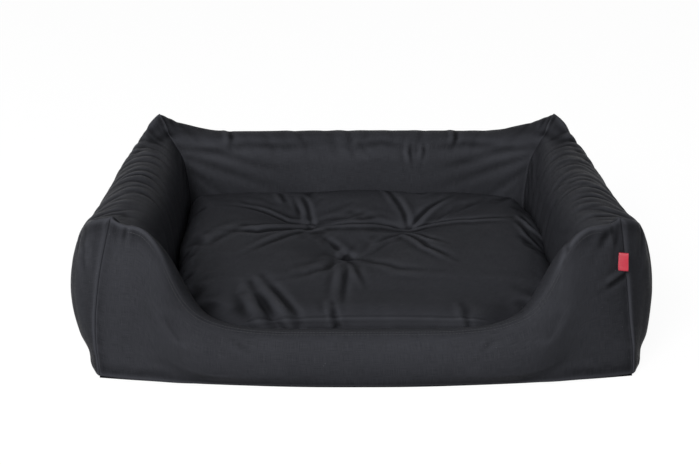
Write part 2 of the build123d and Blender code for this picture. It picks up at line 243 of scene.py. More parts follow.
def fold_wear_group() -> NodeTree:
    """How the cloth's folds show: lighter rubbed ridges, painted shade darkening the valleys, and a faint
    cloudiness.

    Returns:
        The group's tree.
    """
    graph, given, wanted = new_group("fold_wear", {"Ridge": 0.5, "Cloud": 0.5}, ("Tone",))
    fold = graph.add("ShaderNodeAttribute", attribute_name="fold").outputs["Fac"]
    place = graph.add("ShaderNodeTexCoord").outputs["Object"]
    cloud = graph.add("ShaderNodeTexNoise", {"Vector": place, "Scale": 9.0, "Detail": 3.0}).outputs[0]
    cloudy = graph.math("MULTIPLY", graph.math("SUBTRACT", cloud, 0.5), given["Cloud"])
    # The fold attribute lightens ridges as rubbed wear and darkens valleys as painted shade; the cloud is
    # uneven tone.
    tone = graph.math("ADD", graph.math("MULTIPLY", fold, given["Ridge"]), cloudy)
    graph.tree.links.new(tone, wanted["Tone"])
    return graph.tree


def lint_group() -> NodeTree:
    """Sparse pale specks of lint, as a mask.

    Returns:
        The group's tree.
    """
    graph, given, wanted = new_group("lint", {"Amount": 0.5}, ("Mask",))
    place = graph.add("ShaderNodeTexCoord").outputs["Object"]
    cells = graph.add("ShaderNodeTexVoronoi", {"Vector": place, "Scale": 150.0, "Randomness": 1.0})
    near = graph.spread(cells.outputs["Distance"], low=0.05, high=0.11, start=1.0, end=0.0)
    patch = graph.add("ShaderNodeTexNoise", {"Vector": place, "Scale": 40.0, "Detail": 2.0}).outputs[0]
    some = graph.spread(patch, low=0.60, high=0.68, start=0.0, end=1.0)
    mask = graph.math("MULTIPLY", graph.math("MULTIPLY", near, some), given["Amount"])
    graph.tree.links.new(mask, wanted["Mask"])
    return graph.tree


@dataclass(frozen=True)
class ClothFinish:
    """A dyed woven cloth, with a painted sheen: its colour is darkened where the cloth is seen edge-on,
    so that the faces turned towards the view look lit like satin.

    The colour is linear. Thread is the pitch of the weave in metres and relief its height. The painted
    sheen is how much darker the cloth is coloured where it is seen along its surface. Ridge is how
    strongly the folds' tone shows, lighter rubbed ridges and painted shade in the valleys, and contrast
    how far its shades lie from the colour.
    """

    name: str
    colour: Rgb
    thread: float = 0.75 * MM
    relief: float = 0.10 * MM
    slub: float = 0.9
    ridge: float = 0.9
    cloud: float = 0.5
    lint: float = 0.16
    satin: float = 0.42
    contrast: float = 0.65
    weave_share: float = 0.5
    roughness: float = 0.45
    roughness_spread: float = 0.10
    specular: float = 0.010
    lint_colour: Rgb = (0.35, 0.36, 0.38)

    def build(self) -> Material:
        """Makes the material.

        Returns:
            The new material.
        """
        material, graph = new_material(self.name)
        weave = graph.group("plain_weave", weave_group, {"Pitch": self.thread, "Slub": self.slub})
        folds = graph.group("fold_wear", fold_wear_group, {"Ridge": self.ridge, "Cloud": self.cloud})
        specks = graph.group("lint", lint_group, {"Amount": self.lint})
        height = weave.outputs["Height"]
        # The weave's uneven tone plus the folds' tone: rubbed wear on ridges and painted shade in the
        # valleys.
        uneven = graph.math("ADD", weave.outputs["Tone"], folds.outputs["Tone"])
        threads = graph.math("MULTIPLY", graph.math("SUBTRACT", height, 0.5), self.weave_share)
        tone = graph.math("ADD", uneven, threads)
        dyed = graph.mixed(graph.spread(tone, low=-1.0, high=1.0, start=0.0, end=1.0),
                           *shades(self.colour, self.contrast))
        # Painted sheen: the colour darkens towards black where the cloth is seen edge-on, in place of a
        # satin highlight.
        turned = graph.add("ShaderNodeLayerWeight", {"Blend": 0.5}).outputs["Facing"]
        satin = graph.mixed(graph.math("MULTIPLY", turned, self.satin), dyed, (0.0, 0.0, 0.0))
        lay_surface(graph, self.relief, height, {
            "Base Color": graph.mixed(specks.outputs["Mask"], satin, self.lint_colour),
            "Roughness": graph.spread(tone, low=-1.0, high=1.0, start=self.roughness + self.roughness_spread,
                                      end=self.roughness - self.roughness_spread),
            "Specular IOR Level": self.specular,
        })
        return material


@dataclass(frozen=True)
class PlainFinish:
    """A finish for thread, nylon, lacquered metal and rubber: fine grain, uneven tone and gloss.

    The colour is linear, the grain's size in metres.
    """

    name: str
    colour: Rgb
    roughness: float
    metallic: float = 0.0
    specular: float = 0.5
    grain: float = 0.4 * MM
    relief: float = 0.03 * MM
    contrast: float = 0.35
    roughness_spread: float = 0.08

    def build(self) -> Material:
        """Makes the material.

        Returns:
            The new material.
        """
        material, graph = new_material(self.name)
        place = graph.add("ShaderNodeTexCoord").outputs["Object"]
        fine, broad = (graph.add("ShaderNodeTexNoise", {"Vector": place, "Scale": scale, "Detail": detail})
                       for scale, detail in ((1.0 / self.grain, 2.0), (90.0, 3.0)))
        tone = graph.math("ADD", *(graph.math("MULTIPLY", noise.outputs[0], 0.5) for noise in (fine, broad)))
        lay_surface(graph, self.relief, fine.outputs[0], {
            "Base Color": graph.mixed(graph.spread(tone, low=0.3, high=0.7, start=0.0, end=1.0),
                                      *shades(self.colour, self.contrast)),
            "Roughness": graph.spread(broad.outputs[0], low=0.3, high=0.7,
                                      start=self.roughness - self.roughness_spread,
                                      end=self.roughness + self.roughness_spread),
            "Metallic": self.metallic,
            "Specular IOR Level": self.specular,
        })
        return material


@dataclass
class Finishes:
    """The built materials, one for each of the record's slots that shows."""

    shell: Material
    cushion: Material
    base: Material
    label: Material
    thread: Material
    zip_tape: Material
    zip_coil: Material
    zip_metal: Material
    rubber: Material

    @classmethod
    def built(cls) -> "Finishes":
        """Builds them all.

        Returns:
            The materials.
        """
        return cls(
            shell=ClothFinish("shell_fabric", (0.0330, 0.0340, 0.0395)).build(),
            cushion=ClothFinish("cushion_fabric", (0.0325, 0.0335, 0.0390)).build(),
            base=ClothFinish("base_fabric", (0.014, 0.014, 0.015), thread=1.3 * MM, relief=0.2 * MM,
                             ridge=0.3).build(),
            label=ClothFinish("label_fabric", (0.44, 0.014, 0.036), thread=0.35 * MM, relief=0.05 * MM,
                              slub=0.4, ridge=0.0, cloud=0.1, lint=0.0, roughness=0.36,
                              specular=0.5).build(),
            thread=PlainFinish("thread", (0.030, 0.031, 0.035), 0.55, specular=0.35).build(),
            zip_tape=ClothFinish("zip_tape", (0.016, 0.016, 0.018), thread=0.9 * MM, relief=0.2 * MM,
                                 ridge=0.0).build(),
            zip_coil=PlainFinish("zip_coil", (0.018, 0.018, 0.020), 0.32).build(),
            zip_metal=PlainFinish("zip_metal", (0.045, 0.045, 0.05), 0.30, metallic=0.6,
                                  relief=0.01 * MM).build(),
            rubber=PlainFinish("grip_rubber", (0.03, 0.03, 0.032), 0.6).build(),
        )


def tree_of(*meshes: Mesh) -> BVHTree:
    """Gathers the faces of some meshes, for rays and nearest points.

    Args:
        meshes: the meshes.

    Returns:
        Their tree.
    """
    corners, faces = [], []
    for mesh in meshes:
        first = len(corners)
        corners += [v.co.copy() for v in mesh.vertices]
        faces += [[first + i for i in p.vertices] for p in mesh.polygons]
    return BVHTree.FromPolygons(corners, faces)


class Probe:
    """Rays onto the CAD solids that a soft piece follows."""

    def __init__(self, *nodes: str) -> None:
        """Takes the triangles of some CAD nodes, by their names."""
        self.tree = tree_of(*(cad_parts[node].data for node in nodes))

    def hit(self, start: Point, toward: Point) -> np.ndarray | None:
        """Where a ray from start along toward first meets the solids.

        Args:
            start: the ray's start.
            toward: its direction.

        Returns:
            The point, or None where it misses.
        """
        found = self.tree.ray_cast(Vector(start), Vector(toward).normalized(), 2 * FAR)[0]
        return None if found is None else np.array(found)


def run_along(line: np.ndarray) -> np.ndarray:
    """How far along a polyline each of its points lies, from 0 at the first."""
    return np.concatenate([[0.0], np.cumsum(np.linalg.norm(np.diff(line, axis=0), axis=1))])


def ramp(values: np.ndarray, start: float, length: float) -> np.ndarray:
    """A share that climbs from 0, where a value is at the start, to 1 at a length past it."""
    return np.clip((values - start) / length, 0.0, 1.0)


def resampled(line: np.ndarray, count: int) -> np.ndarray:
    """Points at equal steps along a polyline.

    Args:
        line: the polyline's points, one a row.
        count: how many steps.

    Returns:
        count + 1 points, both ends among them.
    """
    run = run_along(line)
    wanted = np.linspace(0.0, run[-1], count + 1)
    return np.stack([np.interp(wanted, run, line[:, k]) for k in range(line.shape[1])], axis=1)


def smoothed(values: np.ndarray, rounds: int) -> np.ndarray:
    """Averages each row with its neighbours, with both end rows kept.

    Args:
        values: rows of numbers.
        rounds: how many times.

    Returns:
        The smoothed rows.
    """
    for _ in range(rounds):
        inner = (values[:-2] + 2 * values[1:-1] + values[2:]) / 4
        values = np.concatenate([values[:1], inner, values[-1:]])
    return values


@dataclass
class Skin:
    """A closed skin of quads: rings from one end to the other, each end closed by a ladder.

    A ring runs over side A, down a band, back under side B and up the other band. The ladder joins
    point i of side A to point i of side B with as many steps as a band has. A wall's side A runs from
    its outer foot to its top and side B from its inner foot to the same top, so its last band has no
    length and closes in that one row.
    """

    rings: np.ndarray
    side: int
    band: int
    one_band: bool = False
    faces: list[tuple[int, ...]] = field(default_factory=list)
    cloth: list[tuple[float, float]] = field(default_factory=list)

    def ring_length(self) -> int:
        """How many points one ring has."""
        return self.rings.shape[1]

    def index(self, column: int, row: int) -> int:
        """The number of a ring's point, with the row counted round."""
        return column * self.ring_length() + row % self.ring_length()

    def build(self) -> tuple[np.ndarray, list[tuple[int, ...]], np.ndarray]:
        """Makes the skin's points, faces and cloth coordinates.

        Returns:
            The points, the faces, and one cloth coordinate for each face corner.
        """
        columns, rows = self.rings.shape[:2]
        round_run = np.linalg.norm(np.diff(self.rings, axis=1, append=self.rings[:, :1]), axis=2)
        across = np.concatenate([np.zeros((columns, 1)), np.cumsum(round_run, axis=1)], axis=1)
        across -= across[:, self.side:self.side + 1]
        along = run_along(self.rings[:, self.side])
        for c in range(columns - 1):
            for r in range(rows):
                self.faces.append((self.index(c, r), self.index(c + 1, r),
                                   self.index(c + 1, r + 1), self.index(c, r + 1)))
                self.cloth += [(along[c], across[c, r]), (along[c + 1], across[c + 1, r]),
                               (along[c + 1], across[c + 1, r + 1]), (along[c], across[c, r + 1])]
        points = [self.rings.reshape(-1, 3)]
        total = columns * rows
        for column in (0, columns - 1):
            extra = self._close(column, total)
            points.append(extra)
            total += len(extra)
        return np.concatenate(points), self.faces, np.array(self.cloth)

    def _close(self, column: int, first: int) -> np.ndarray:
        """Adds the faces of one end's ladder.

        Args:
            column: the ring that is closed.
            first: the number of the first new point.

        Returns:
            The new points.
        """
        rows = self.ring_length()
        side_a = [self.index(column, r) for r in range(self.side + 1)]
        turn = 2 * self.side + (0 if self.one_band else self.band)
        side_b = [self.index(column, turn - r) for r in range(self.side + 1)]
        ring = self.rings[column]
        rungs, extra = [], []
        for i in range(self.side + 1):
            if i == 0:
                between = [self.index(column, rows - k) for k in range(1, self.band)]
            elif i == self.side and not self.one_band:
                between = [self.index(column, self.side + k) for k in range(1, self.band)]
            elif i == self.side:
                between = [side_a[i]] * (self.band - 1)
            else:
                start, end = ring[i], ring[(turn - i) % rows]
                shares = np.arange(1, self.band) / self.band
                between = list(range(first + len(extra), first + len(extra) + self.band - 1))
                extra += [start + (end - start) * s for s in shares]
            rungs.append([side_a[i], *between, side_b[i]])
        for low, high in zip(rungs, rungs[1:]):
            for k in range(self.band):
                face = [low[k], low[k + 1], high[k + 1], high[k]]
                face = [p for j, p in enumerate(face) if p not in face[:j]]
                if column == 0:
                    face.reverse()
                self.faces.append(tuple(face))
                self.cloth += [(k * CLOTH_STEP, j * CLOTH_STEP) for j in range(len(face))]
        return np.array(extra).reshape(-1, 3)


def turned_out(obj: Object) -> Object:
    """Turns every face of a closed piece outwards.

    Args:
        obj: the piece.

    Returns:
        The same piece.
    """
    shape = bmesh.new()
    shape.from_mesh(obj.data)
    bmesh.ops.recalc_face_normals(shape, faces=shape.faces)
    shape.to_mesh(obj.data)
    shape.free()
    return obj


def mesh_piece(name: str, points: np.ndarray, faces: list, cloth: np.ndarray) -> Object:
    """Makes a mesh object at the origin, with its place in its points.

    Args:
        name: the piece's name.
        points: its points, one a row.
        faces: its faces, each the numbers of its points.
        cloth: one cloth coordinate for each face corner, in metres.

    Returns:
        The new object.
    """
    mesh = bpy.data.meshes.new(name)
    mesh.from_pydata(points.tolist(), [], faces)
    mesh.uv_layers.new(name="cloth").data.foreach_set("uv", cloth.ravel())
    obj = bpy.data.objects.new(name, mesh)
    bpy.context.scene.collection.objects.link(obj)
    return obj


def vectors(items: bpy.types.bpy_prop_collection, name: str) -> np.ndarray:
    """Reads a vector of each item.

    Args:
        items: the items, such as a mesh's vertices.
        name: the vector's name.

    Returns:
        The vectors, one a row.
    """
    found = np.empty(len(items) * 3, np.float32)
    items.foreach_get(name, found)
    return found.reshape(-1, 3).astype(float)


def points_of(mesh: Mesh) -> np.ndarray:
    """The mesh's points, one a row."""
    return vectors(mesh.vertices, "co")


def normals_of(mesh: Mesh) -> np.ndarray:
    """The mesh's point normals, one a row."""
    return vectors(mesh.vertex_normals, "vector")


def set_points(mesh: Mesh, points: np.ndarray) -> None:
    """Writes the mesh's points back."""
    mesh.vertices.foreach_set("co", points.astype(np.float32).ravel())
    mesh.update()


def relaxed(mesh: Mesh, points: np.ndarray, rounds: int) -> np.ndarray:
    """Averages each point with its neighbours.

    Args:
        mesh: the mesh that the points belong to.
        points: its points.
        rounds: how many times.

    Returns:
        The relaxed points.
    """
    ends = np.empty(len(mesh.edges) * 2, np.int32)
    mesh.edges.foreach_get("vertices", ends)
    first, second = ends.reshape(-1, 2).T
    both, other = np.concatenate([first, second]), np.concatenate([second, first])
    count = np.bincount(both, minlength=len(points))[:, None]
    for _ in range(rounds):
        total = np.stack([np.bincount(both, points[other, k], len(points)) for k in range(3)], axis=1)
        points = (points + total / count) / 2
    return points


def only(*pieces: Object) -> None:
    """Selects some pieces alone, and makes the first the active one.

    Args:
        pieces: the pieces.
    """
    bpy.ops.object.select_all(action="DESELECT")
    for piece in pieces:
        piece.select_set(True)
    bpy.context.view_layer.objects.active = pieces[0]


def applied(obj: Object, kind: str, **settings: object) -> None:
    """Adds a modifier and applies it.

    Args:
        obj: the piece.
        kind: the modifier's type.
        settings: its settings.
    """
    only(obj)
    modifier = obj.modifiers.new(kind.lower(), kind)
    set_all(modifier, **settings)
    bpy.ops.object.modifier_apply(modifier=modifier.name)


@dataclass(frozen=True)
class ViewPoint:
    """The camera that was fitted to the photograph."""

    eye: Point = (-0.0354, -1.832, 0.7487)
    pitch: float = 19.55
    yaw: float = 0.50
    lens_mm: float = 68.07

    def turn(self) -> Euler:
        """How the camera is turned."""
        return Euler((math.radians(90.0 - self.pitch), 0.0, math.radians(-self.yaw)))

    def toward(self, pixel: Pixel) -> Vector:
        """The direction in which the camera sees a pixel of the photograph.

        Args:
            pixel: its column and row, from the picture's upper left corner.

        Returns:
            The direction, in the row frame.
        """
        focal = self.lens_mm / SENSOR_WIDTH_MM * PHOTO_SIZE[0]
        across, up = pixel[0] - PHOTO_SIZE[0] / 2, PHOTO_SIZE[1] / 2 - pixel[1]
        return self.turn().to_matrix() @ Vector((across / focal, up / focal, -1.0))


VIEW = ViewPoint()


@dataclass(frozen=True)
class Crease:
    """A fold in stuffed cloth: a valley along a line, with a soft ridge at one side of it.

    The line's points are in metres. The ridge lies to the right of the line, seen from above. Taper
    gives how deep the fold is at the line's start and end, of its depth in the middle. Where the
    ridge stands, how broad it is and how far the fold runs on past its ends are in widths.
    """

    line: tuple[Point, ...]
    width: float = 5 * MM
    depth: float = 3 * MM
    ridge: float = 0.5
    reach: float = 40 * MM
    taper: tuple[float, float] = (0.1, 0.1)
    steps: int = 24
    ridge_place: float = 2.3
    ridge_breadth: float = 1.6
    overrun: float = 3.2

    def press(self, points: np.ndarray, normals: np.ndarray) -> np.ndarray:
        """Moves the points that lie near the line along their normals.

        Args:
            points: the piece's points.
            normals: their normals.

        Returns:
            The moved points.
        """
        line = resampled(np.array(self.line, float), self.steps)
        near = np.flatnonzero(np.all((points > line.min(0) - self.reach)
                                     & (points < line.max(0) + self.reach), axis=1))
        if not len(near):
            return points
        away = points[near, None, :] - line[None, :, :]
        nearest = np.argmin((away**2).sum(axis=2), axis=1)
        tangent = np.gradient(line, axis=0)[nearest]
        tangent /= np.linalg.norm(tangent, axis=1, keepdims=True)
        offset = away[np.arange(len(near)), nearest]
        beyond = np.linalg.norm(offset, axis=1) / self.width
        offset = offset - tangent * (offset * tangent).sum(axis=1, keepdims=True)
        side = np.sign((np.cross(tangent, normals[near]) * offset).sum(axis=1))
        gone = np.linalg.norm(offset, axis=1) / self.width
        share = nearest / (len(line) - 1)
        depth = np.interp(share, [0.0, 0.5, 1.0], [self.taper[0], 1.0, self.taper[1]])
        fade = np.sin(depth * np.pi / 2) * np.exp(-np.clip(beyond - self.overrun, 0, None))
        valley = np.exp(-gone**2)
        ridge = self.ridge * np.exp(-((side * gone - self.ridge_place) / self.ridge_breadth) ** 2)
        moved = points.copy()
        moved[near] += normals[near] * (self.depth * fade * (ridge - valley))[:, None]
        return moved


@dataclass(frozen=True)
class SeenFold:
    """A fold that the photograph shows, as the pixels that it runs through.

    Sizes are in millimetres. The camera's rays carry the pixels onto the piece.
    """

    pixels: tuple[Pixel, ...]
    width: float = 4.0
    depth: float = 2.5
    ridge: float = 0.6
    taper: tuple[float, float] = (0.1, 0.1)

    def on(self, cloth: BVHTree) -> Crease | None:
        """The crease on a piece of cloth.

        Args:
            cloth: the triangles of the cloth.

        Returns:
            The crease, or None where the rays miss the cloth.
        """
        found = [cloth.ray_cast(Vector(VIEW.eye), VIEW.toward(p))[0] for p in self.pixels]
        line = tuple(tuple(p) for p in found if p is not None)
        if len(line) < 2:
            return None
        return Crease(line, self.width * MM, self.depth * MM, self.ridge, taper=self.taper)


@dataclass(frozen=True)
class Gather:
    """A set of like folds across a wall, in the grid of its rings.

    Columns run from 0 at one corner to 1 at the other. Rows run from 0 at the outer foot over 0.5 at
    the top to 1 at the inner foot. Width and depth are in millimetres. The shares say how far the
    folds differ: in place by a share of their pitch, in span, lean, strength and width from one
    share to another of what is given.
    """

    count: int
    columns: tuple[float, float]
    rows: tuple[float, float]
    lean: float = 0.0
    bow: float = 0.0
    width: float = 5.0
    depth: float = 2.0
    ridge: float = 0.6
    taper: tuple[float, float] = (0.1, 0.1)
    stations: int = 9
    place_share: float = 0.3
    span_shares: tuple[float, float] = (0.65, 1.0)
    lean_shares: tuple[float, float] = (0.5, 1.5)
    strength_shares: tuple[float, float] = (0.55, 1.25)
    width_shares: tuple[float, float] = (0.8, 1.3)

    def folds(self, grid: np.ndarray, rng: np.random.Generator) -> list[Crease]:
        """The folds on a wall.

        Args:
            grid: the wall's points by column and row.
            rng: what makes them uneven.

        Returns:
            One crease for each fold.
        """
        creases = []
        last_column, last_row = grid.shape[0] - 1, grid.shape[1] - 1
        pitch = (self.columns[1] - self.columns[0]) / self.count
        run = np.linspace(0.0, 1.0, self.stations)
        for number in range(self.count):
            shifted = number + 0.5 + rng.uniform(-self.place_share, self.place_share)
            start = self.columns[0] + pitch * shifted
            span = rng.uniform(*self.span_shares) * (self.rows[1] - self.rows[0])
            low = rng.uniform(self.rows[0], self.rows[1] - span)
            lean = self.lean * rng.uniform(*self.lean_shares)
            column = start + lean * (run - 0.5) + self.bow * (1 - (2 * run - 1) ** 2)
            row = np.clip((low + span * run) * last_row, 0, last_row).astype(int)
            column = np.clip(column * last_column, 0, last_column).astype(int)
            depth = self.depth * rng.uniform(*self.strength_shares) * MM
            width = self.width * rng.uniform(*self.width_shares) * MM
            line = tuple(map(tuple, grid[column, row]))
            creases.append(Crease(line, width, depth, self.ridge, taper=self.taper))
        return creases


@dataclass(frozen=True)
class Settle:
    """Where the stuffed bed has settled off its drawn shape: a soft shift round one place."""

    place: Point
    radius: float
    shift: Point

    def move(self, points: np.ndarray) -> np.ndarray:
        """The points, moved."""
        away = np.linalg.norm(points - np.array(self.place), axis=1) / self.radius
        return points + np.exp(-(away**2))[:, None] * np.array(self.shift)


@dataclass(frozen=True)
class Stuffing:
    """How a piece's cloth swells over its filling.

    Slack is how much longer the cloth is than the CAD shape and cap the most that a point may move.
    Fill, how tight the piece is meant to be in the end from 0 to 1, is not used. The rest is the
    cloth simulation's.
    """

    pressure: float
    slack: float
    cap: float
    fill: float
    bending: float = 0.15
    stiffness: float = 18.0
    mass: float = 0.25
    damping: float = 3.0
    quality: int = 6
    frames: int = 22


@dataclass(kw_only=True)
class SoftPiece:
    """A stuffed piece of cloth: a skin wrapped on its CAD solids, swelled, creased and dressed.

    Its pressed folds are eased for rest_rounds. How a point folds is its bend against the skin eased
    for bend_rounds, in bend_units, less the same eased for broad_rounds.
    """

    stuffing: Stuffing
    seen: tuple[SeenFold, ...] = ()
    name: str = "soft_piece"
    body: str = "bed"
    slot: str = "shell_fabric"
    replaced: tuple[str, ...] = ()
    rest_rounds: int = 1
    bend_rounds: int = 14
    bend_unit: float = 0.7 * MM
    broad_rounds: int = 60
    obj: Object | None = field(default=None, init=False)
    start: np.ndarray | None = field(default=None, init=False)

    def wrap(self) -> None:
        """Makes the skin's object. Each kind of piece has its own."""
        raise NotImplementedError

    def held(self) -> np.ndarray:
        """Which points the seams and the floor hold still."""
        raise NotImplementedError

    def cut_larger(self, points: np.ndarray) -> np.ndarray:
        """The points of the cloth's own cut, which has some slack."""
        raise NotImplementedError

    def kept_clear(self, points: np.ndarray) -> np.ndarray:
        """The points, kept off the piece's neighbours."""
        return points

    def creases(self) -> list[Crease]:
        """The folds that come from how the piece is sewn."""
        return []

    def settled(self, points: np.ndarray) -> np.ndarray:
        """The points, where the finished piece has settled."""
        return points

    def worn(self, points: np.ndarray) -> np.ndarray:
        """How much the folds' tone, rubbed wear on ridges and painted shade in valleys, shows at the points,
        from 0 to 1.
        """
        return np.ones(len(points))

    def make_cloth(self) -> None:
        """Gives the skin its cloth, with the held points pinned and the cut as its rest shape."""
        stuffing = self.stuffing
        self.start = points_of(self.obj.data)
        pins = self.obj.vertex_groups.new(name="held")
        pins.add(np.flatnonzero(self.held()).tolist(), 1.0, "REPLACE")
        self.obj.shape_key_add(name="wrapped")
        cut = self.obj.shape_key_add(name="cut")
        cut.data.foreach_set("co", self.cut_larger(self.start).astype(np.float32).ravel())
        cut.value = 0.0
        cloth = self.obj.modifiers.new("cloth", "CLOTH")
        set_all(cloth.settings, quality=stuffing.quality, mass=stuffing.mass, air_damping=stuffing.damping,
                tension_stiffness=stuffing.stiffness, compression_stiffness=stuffing.stiffness,
                shear_stiffness=stuffing.stiffness / 2, bending_stiffness=stuffing.bending,
                use_pressure=True, uniform_pressure_force=stuffing.pressure,
                vertex_group_mass=pins.name, rest_shape_key=cut)
        cloth.settings.effector_weights.gravity = 0.0
        set_all(cloth.point_cache, frame_start=1, frame_end=stuffing.frames)
        set_all(cloth.collision_settings, use_collision=False, use_self_collision=False)

    def take_swollen(self, graph: bpy.types.Depsgraph) -> None:
        """Takes the cloth's result as the skin, with each point's move capped.

        Args:
            graph: the evaluated scene at the last frame.
        """
        move = points_of(self.obj.evaluated_get(graph).data) - self.start
        length = np.linalg.norm(move, axis=1, keepdims=True)
        cap = self.stuffing.cap
        move *= cap * np.tanh(length / cap) / np.maximum(length, TINY)
        self.obj.modifiers.clear()
        self.obj.shape_key_clear()
        self.obj.vertex_groups.clear()
        set_points(self.obj.data, self.kept_clear(self.start + move))

    def press(self, creases: list[Crease]) -> None:
        """Presses creases into the piece's mesh.

        Args:
            creases: the creases, in their order.
        """
        points, normals = points_of(self.obj.data), normals_of(self.obj.data)
        for crease in creases:
            points = crease.press(points, normals)
        set_points(self.obj.data, points)

    def finish_mesh(self) -> None:
        """Subdivides the skin once, presses its folds in, and writes how each point folds."""
        creases = self.creases()
        applied(self.obj, "SUBSURF", levels=1, render_levels=1)
        mesh = self.obj.data
        self.press(creases)
        set_points(mesh, self.settled(self.kept_clear(points_of(mesh))))
        cloth = tree_of(self.obj.data)
        self.press([crease for crease in (fold.on(cloth) for fold in self.seen) if crease])
        set_points(mesh, relaxed(mesh, points_of(mesh), self.rest_rounds))
        mesh.shade_smooth()
        points, normals = points_of(mesh), normals_of(mesh)
        bend = ((points - relaxed(mesh, points, self.bend_rounds)) * normals).sum(axis=1) / self.bend_unit
        columns = np.repeat(bend[:, None], 3, axis=1)
        fold = (relaxed(mesh, columns, 1) - relaxed(mesh, columns, self.broad_rounds))[:, 0]
        # The fold tone: lighter rubbed ridges and painted shade in the valleys, faded by the share.
        shown = np.clip(fold, -1.0, 1.0) * self.worn(points)
        attribute = mesh.attributes.new("fold", "FLOAT", "POINT")
        attribute.data.foreach_set("value", shown.astype(np.float32))

    def dress(self, material: Material) -> None:
        """Gives the piece its finish, ties it to its body and hides its CAD nodes.

        Args:
            material: the cloth's material.
        """
        dressed(self.obj, self.body, self.slot, material, *self.replaced)


def swell(pieces: list[SoftPiece]) -> None:
    """Lets the cloth of all the pieces swell together, and takes the results.

    Args:
        pieces: the wrapped pieces.
    """
    scene = bpy.context.scene
    for piece in pieces:
        piece.make_cloth()
    for number in range(1, max(p.stuffing.frames for p in pieces) + 1):
        scene.frame_set(number)
    graph = bpy.context.evaluated_depsgraph_get()
    for piece in pieces:
        piece.take_swollen(graph)
    scene.frame_set(1)


class Wall(Enum):
    """The four walls, each with its directions along and outward."""

    FRONT = ((1.0, 0.0, 0.0), (0.0, -1.0, 0.0))
    REAR = ((1.0, 0.0, 0.0), (0.0, 1.0, 0.0))
    LEFT = ((0.0, 1.0, 0.0), (-1.0, 0.0, 0.0))
    RIGHT = ((0.0, 1.0, 0.0), (1.0, 0.0, 0.0))

    @property
    def word(self) -> str:
        """The wall's name in plain words."""
        return self.name.lower()


@dataclass(frozen=True)
class BedPlan:
    """The bed's plan, read from the frame: the base's seams and the feet of the walls."""

    half_width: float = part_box("rear_wall_cover")[1].x
    half_depth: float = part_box("left_wall_cover")[1].y
    foot_width: float = 70.5 * MM
    foot_height: float = 1.6 * MM
    band_top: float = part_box("rear_zip_band")[1].z
    zip_room: float = 5.0 * MM
    lean: float = 5.0 * MM
    lean_height: float = 90.0 * MM
    settles: tuple[Settle, ...] = (
        Settle((-0.321, -0.259, 0.209), 0.055, (0.006, 0.0, 0.007)),
        Settle((0.321, -0.259, 0.209), 0.055, (0.002, 0.0, 0.004)),
        Settle((-0.321, 0.259, 0.209), 0.028, (0.0, 0.0, 0.006)),
        Settle((0.321, 0.259, 0.209), 0.028, (0.0, 0.0, 0.005)),
    )

    def settled(self, points: np.ndarray) -> np.ndarray:
        """The walls where they stand: leaning a little left, with pulled corners.

        Args:
            points: the walls' points.

        Returns:
            The settled points.
        """
        for settle in self.settles:
            points = settle.move(points)
        rise = ramp(points[:, 2], 0.0, self.lean_height)
        leaned = points.copy()
        leaned[:, 0] -= self.lean * rise * rise * (3 - 2 * rise)
        return leaned

    def half_length(self, wall: Wall) -> float:
        """Half the length of a wall's outer seam."""
        return self.half_width if wall in (Wall.FRONT, Wall.REAR) else self.half_depth

    def half_span(self, wall: Wall) -> float:
        """How far a wall's outer seam lies from the middle."""
        return self.half_depth if wall in (Wall.FRONT, Wall.REAR) else self.half_width


PLAN = BedPlan()


